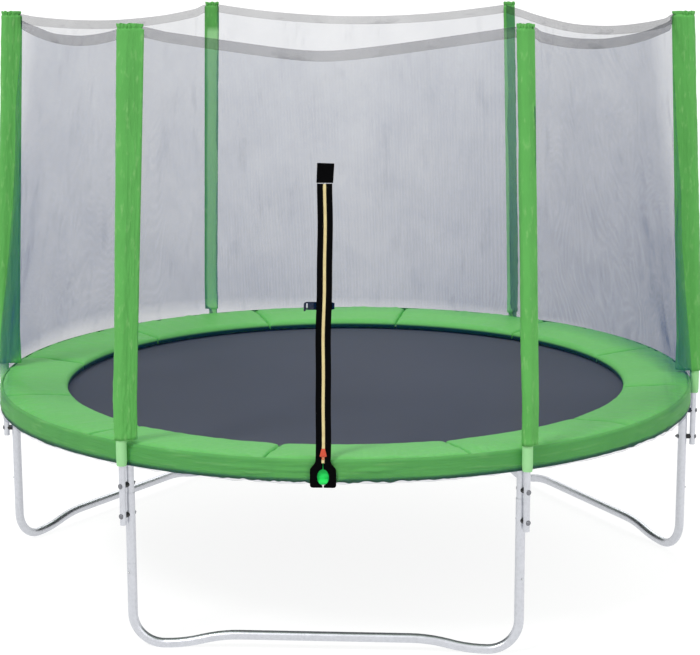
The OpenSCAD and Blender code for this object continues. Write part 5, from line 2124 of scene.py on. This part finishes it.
    def socket(self) -> None:
        """Makes the buckle's socket: a hollow body with side windows and a bar for its strap."""
        length, h, t = self.buckle
        back, wall, left, right, half = self.buckle_in, self.shell_t, -length / 2, self.seat_x, h / 2
        outline = [(left, -h * 0.36), (left + 0.010, -half), (right - 0.012, -half), (right, -h * 0.42),
                   (right, h * 0.42), (right - 0.012, half), (left + 0.010, half), (left, h * 0.36)]
        window = oblong(right - 0.022, right - 0.030, 0.0035, -0.0035)
        slot = oblong(left + 0.008, left + 0.014, -h * 0.30, h * 0.30)
        rear = oblong(left + 0.015, left + 0.020, 0.002 - half, half - 0.002)
        hook = [(left - 0.001, h * 0.2), (left + 0.007, h * 0.2), (left + 0.007, -h * 0.62),
                (left - 0.001, -h * 0.72)]
        walls = ((0.0005 - half, 0.0035 - half), (-0.0028, 0.0028), (half - 0.0035, half - 0.0005))
        inside = (back + 0.001, back + t - 0.001)
        self.built(Body.FRAME, Slot.PLASTIC, "buckle_socket", self.buckle_at, (
            ("socket", outline, (back + t - wall, back + t), 0.004, 0.0008, (window, slot)),
            ("socket_back", outline, (back, back + wall), 0.004, 0.0008, (slot,)),
            ("socket_rear", rear, inside),
            ("socket_hook", hook, inside, 0.002, 0.0008),
            *((f"socket_wall_{k}", oblong(left + 0.016, right - 0.004, *ends), inside)
              for k, ends in enumerate(walls))))

    def tongue(self) -> None:
        """Makes the buckle's tongue: a shouldered body with two sprung prongs."""
        length, h, t = self.buckle
        back, right, seat = self.buckle_in, length / 2, self.seat_x + 0.0003
        outline = [(seat, -h * 0.42), (seat + 0.012, -h / 2), (right - 0.010, -h / 2), (right, -h * 0.36),
                   (right, h * 0.36), (right - 0.010, h / 2), (seat + 0.012, h / 2), (seat, h * 0.42)]
        slots = [oblong(right - end, right - end + 0.006, -h * 0.3, h * 0.3) for end in (0.014, 0.026)]
        prongs = [[(seat + 0.003, side * 0.0045), (-0.019, side * 0.0050), (-0.0195, side * 0.0080),
                   (-0.013, side * 0.0095), (seat + 0.003, side * 0.0080)] for side in (-1, 1)]
        self.built(Body.TONGUE, Slot.PLASTIC, "buckle_tongue", self.buckle_at, (
            ("tongue", outline, (back, back + t), 0.004, 0.0012, slots),
            *((f"prong_{k}", prong, (back + 0.0027, back + t - 0.0027), 0.001, 0.0005)
              for k, prong in enumerate(prongs))))


# -------- studio


@dataclass
class Studio:
    """Camera, lights and pale floor."""

    floor_r: float = 160.0
    lens: float = 98.96
    stand: tuple[float, float, float] = (0.5413, -8.4012, 2.7175)
    heading: float = 3.5492
    pitch_rad: float = -0.1985
    roll_rad: float = -0.0026
    sky: float = 0.55

    def make(self) -> None:
        """Sets up everything round the object."""
        self._floor()
        self._sky()
        self._sun("key", (-0.50, -0.62, 0.95), 1.05, 14.0)
        self._sun("fill", (0.75, -0.55, 0.60), 0.40, 45.0)
        self._sun("back", (0.15, 0.90, 0.75), 0.40, 35.0)
        self._camera()
        bpy.context.scene.view_settings.view_transform = "Standard"

    def _floor(self) -> None:
        """Lays the floor."""
        n = 96
        turns = np.arange(n) * math.tau / n
        rings = [np.column_stack([r * np.cos(turns), r * np.sin(turns), 0 * turns])
                 for r in (self.floor_r, 8.0, 0.5)]
        middle = [(2 * n + i, 2 * n + (i + 1) % n, 3 * n) for i in range(n)]
        faces = sheet_faces(3, n, True) + middle
        floor = piece("floor", np.concatenate([*rings, [[0, 0, 0]]]), faces, Slot.TUBE)
        floor.data.materials.clear()
        floor.data.materials.append(FloorCoat("studio_floor", (0.60, 0.60, 0.60, 1)).material())

    def _sky(self) -> None:
        """Lights evenly from all round, in front of a white background."""
        world = bpy.data.worlds.new("studio")
        bpy.context.scene.world = world
        world.use_nodes = True
        graph = Graph(world.node_tree)
        graph.tree.nodes.clear()
        strength = graph.seen() * (1 - self.sky) + self.sky
        back = graph.node("ShaderNodeBackground", inputs={"Color": (1, 1, 1, 1), "Strength": strength})
        graph.node("ShaderNodeOutputWorld", inputs={"Surface": back.outputs[0]})

    def _sun(self, name: str, towards: tuple[float, float, float], strength: float, soft: float) -> None:
        """Adds a soft sun.

        Args:
            name: Its name.
            towards: Direction from the object to it.
            strength: Its strength.
            soft: Its angle in degrees.
        """
        light = bpy.data.lights.new(name, "SUN")
        light.energy = strength
        light.angle = math.radians(soft)
        linked(name, light).rotation_euler = Vector(towards).to_track_quat("Z", "Y").to_euler()

    def _camera(self) -> None:
        """Sets the camera in front, a little to the right and above the net."""
        data = bpy.data.cameras.new("camera")
        data.sensor_width, data.sensor_fit, data.lens = 36.0, "HORIZONTAL", self.lens
        data.clip_end = 400.0
        camera = linked("camera", data)
        heading, tilt = math.radians(self.heading), math.pi / 2 + self.pitch_rad
        camera.matrix_world = (Matrix.Translation(self.stand) @ Matrix.Rotation(heading, 4, "Z")
                               @ Matrix.Rotation(tilt, 4, "X") @ Matrix.Rotation(self.roll_rad, 4, "Z"))
        bpy.context.scene.camera = camera


def main() -> None:
    """Builds the studio and every sub-assembly."""
    logging.basicConfig(level=logging.INFO, format="%(message)s")
    Studio().make()
    lay, trees = Layout(), Trees()
    SteelFrame().dress()
    fasteners, sleeves = Fasteners(lay, trees), PoleSleeves(lay, trees)
    fasteners.bolts()
    fasteners.nuts()
    for assembly in (FoamTubes(lay), sleeves, JumpMat(lay, trees), FramePad(lay, trees),
                     PadSkirt(lay, trees), SafetyNet(lay, trees, sleeves), ZipEntrance(lay, trees)):
        assembly.make()


if __name__ == "__main__":
    main()
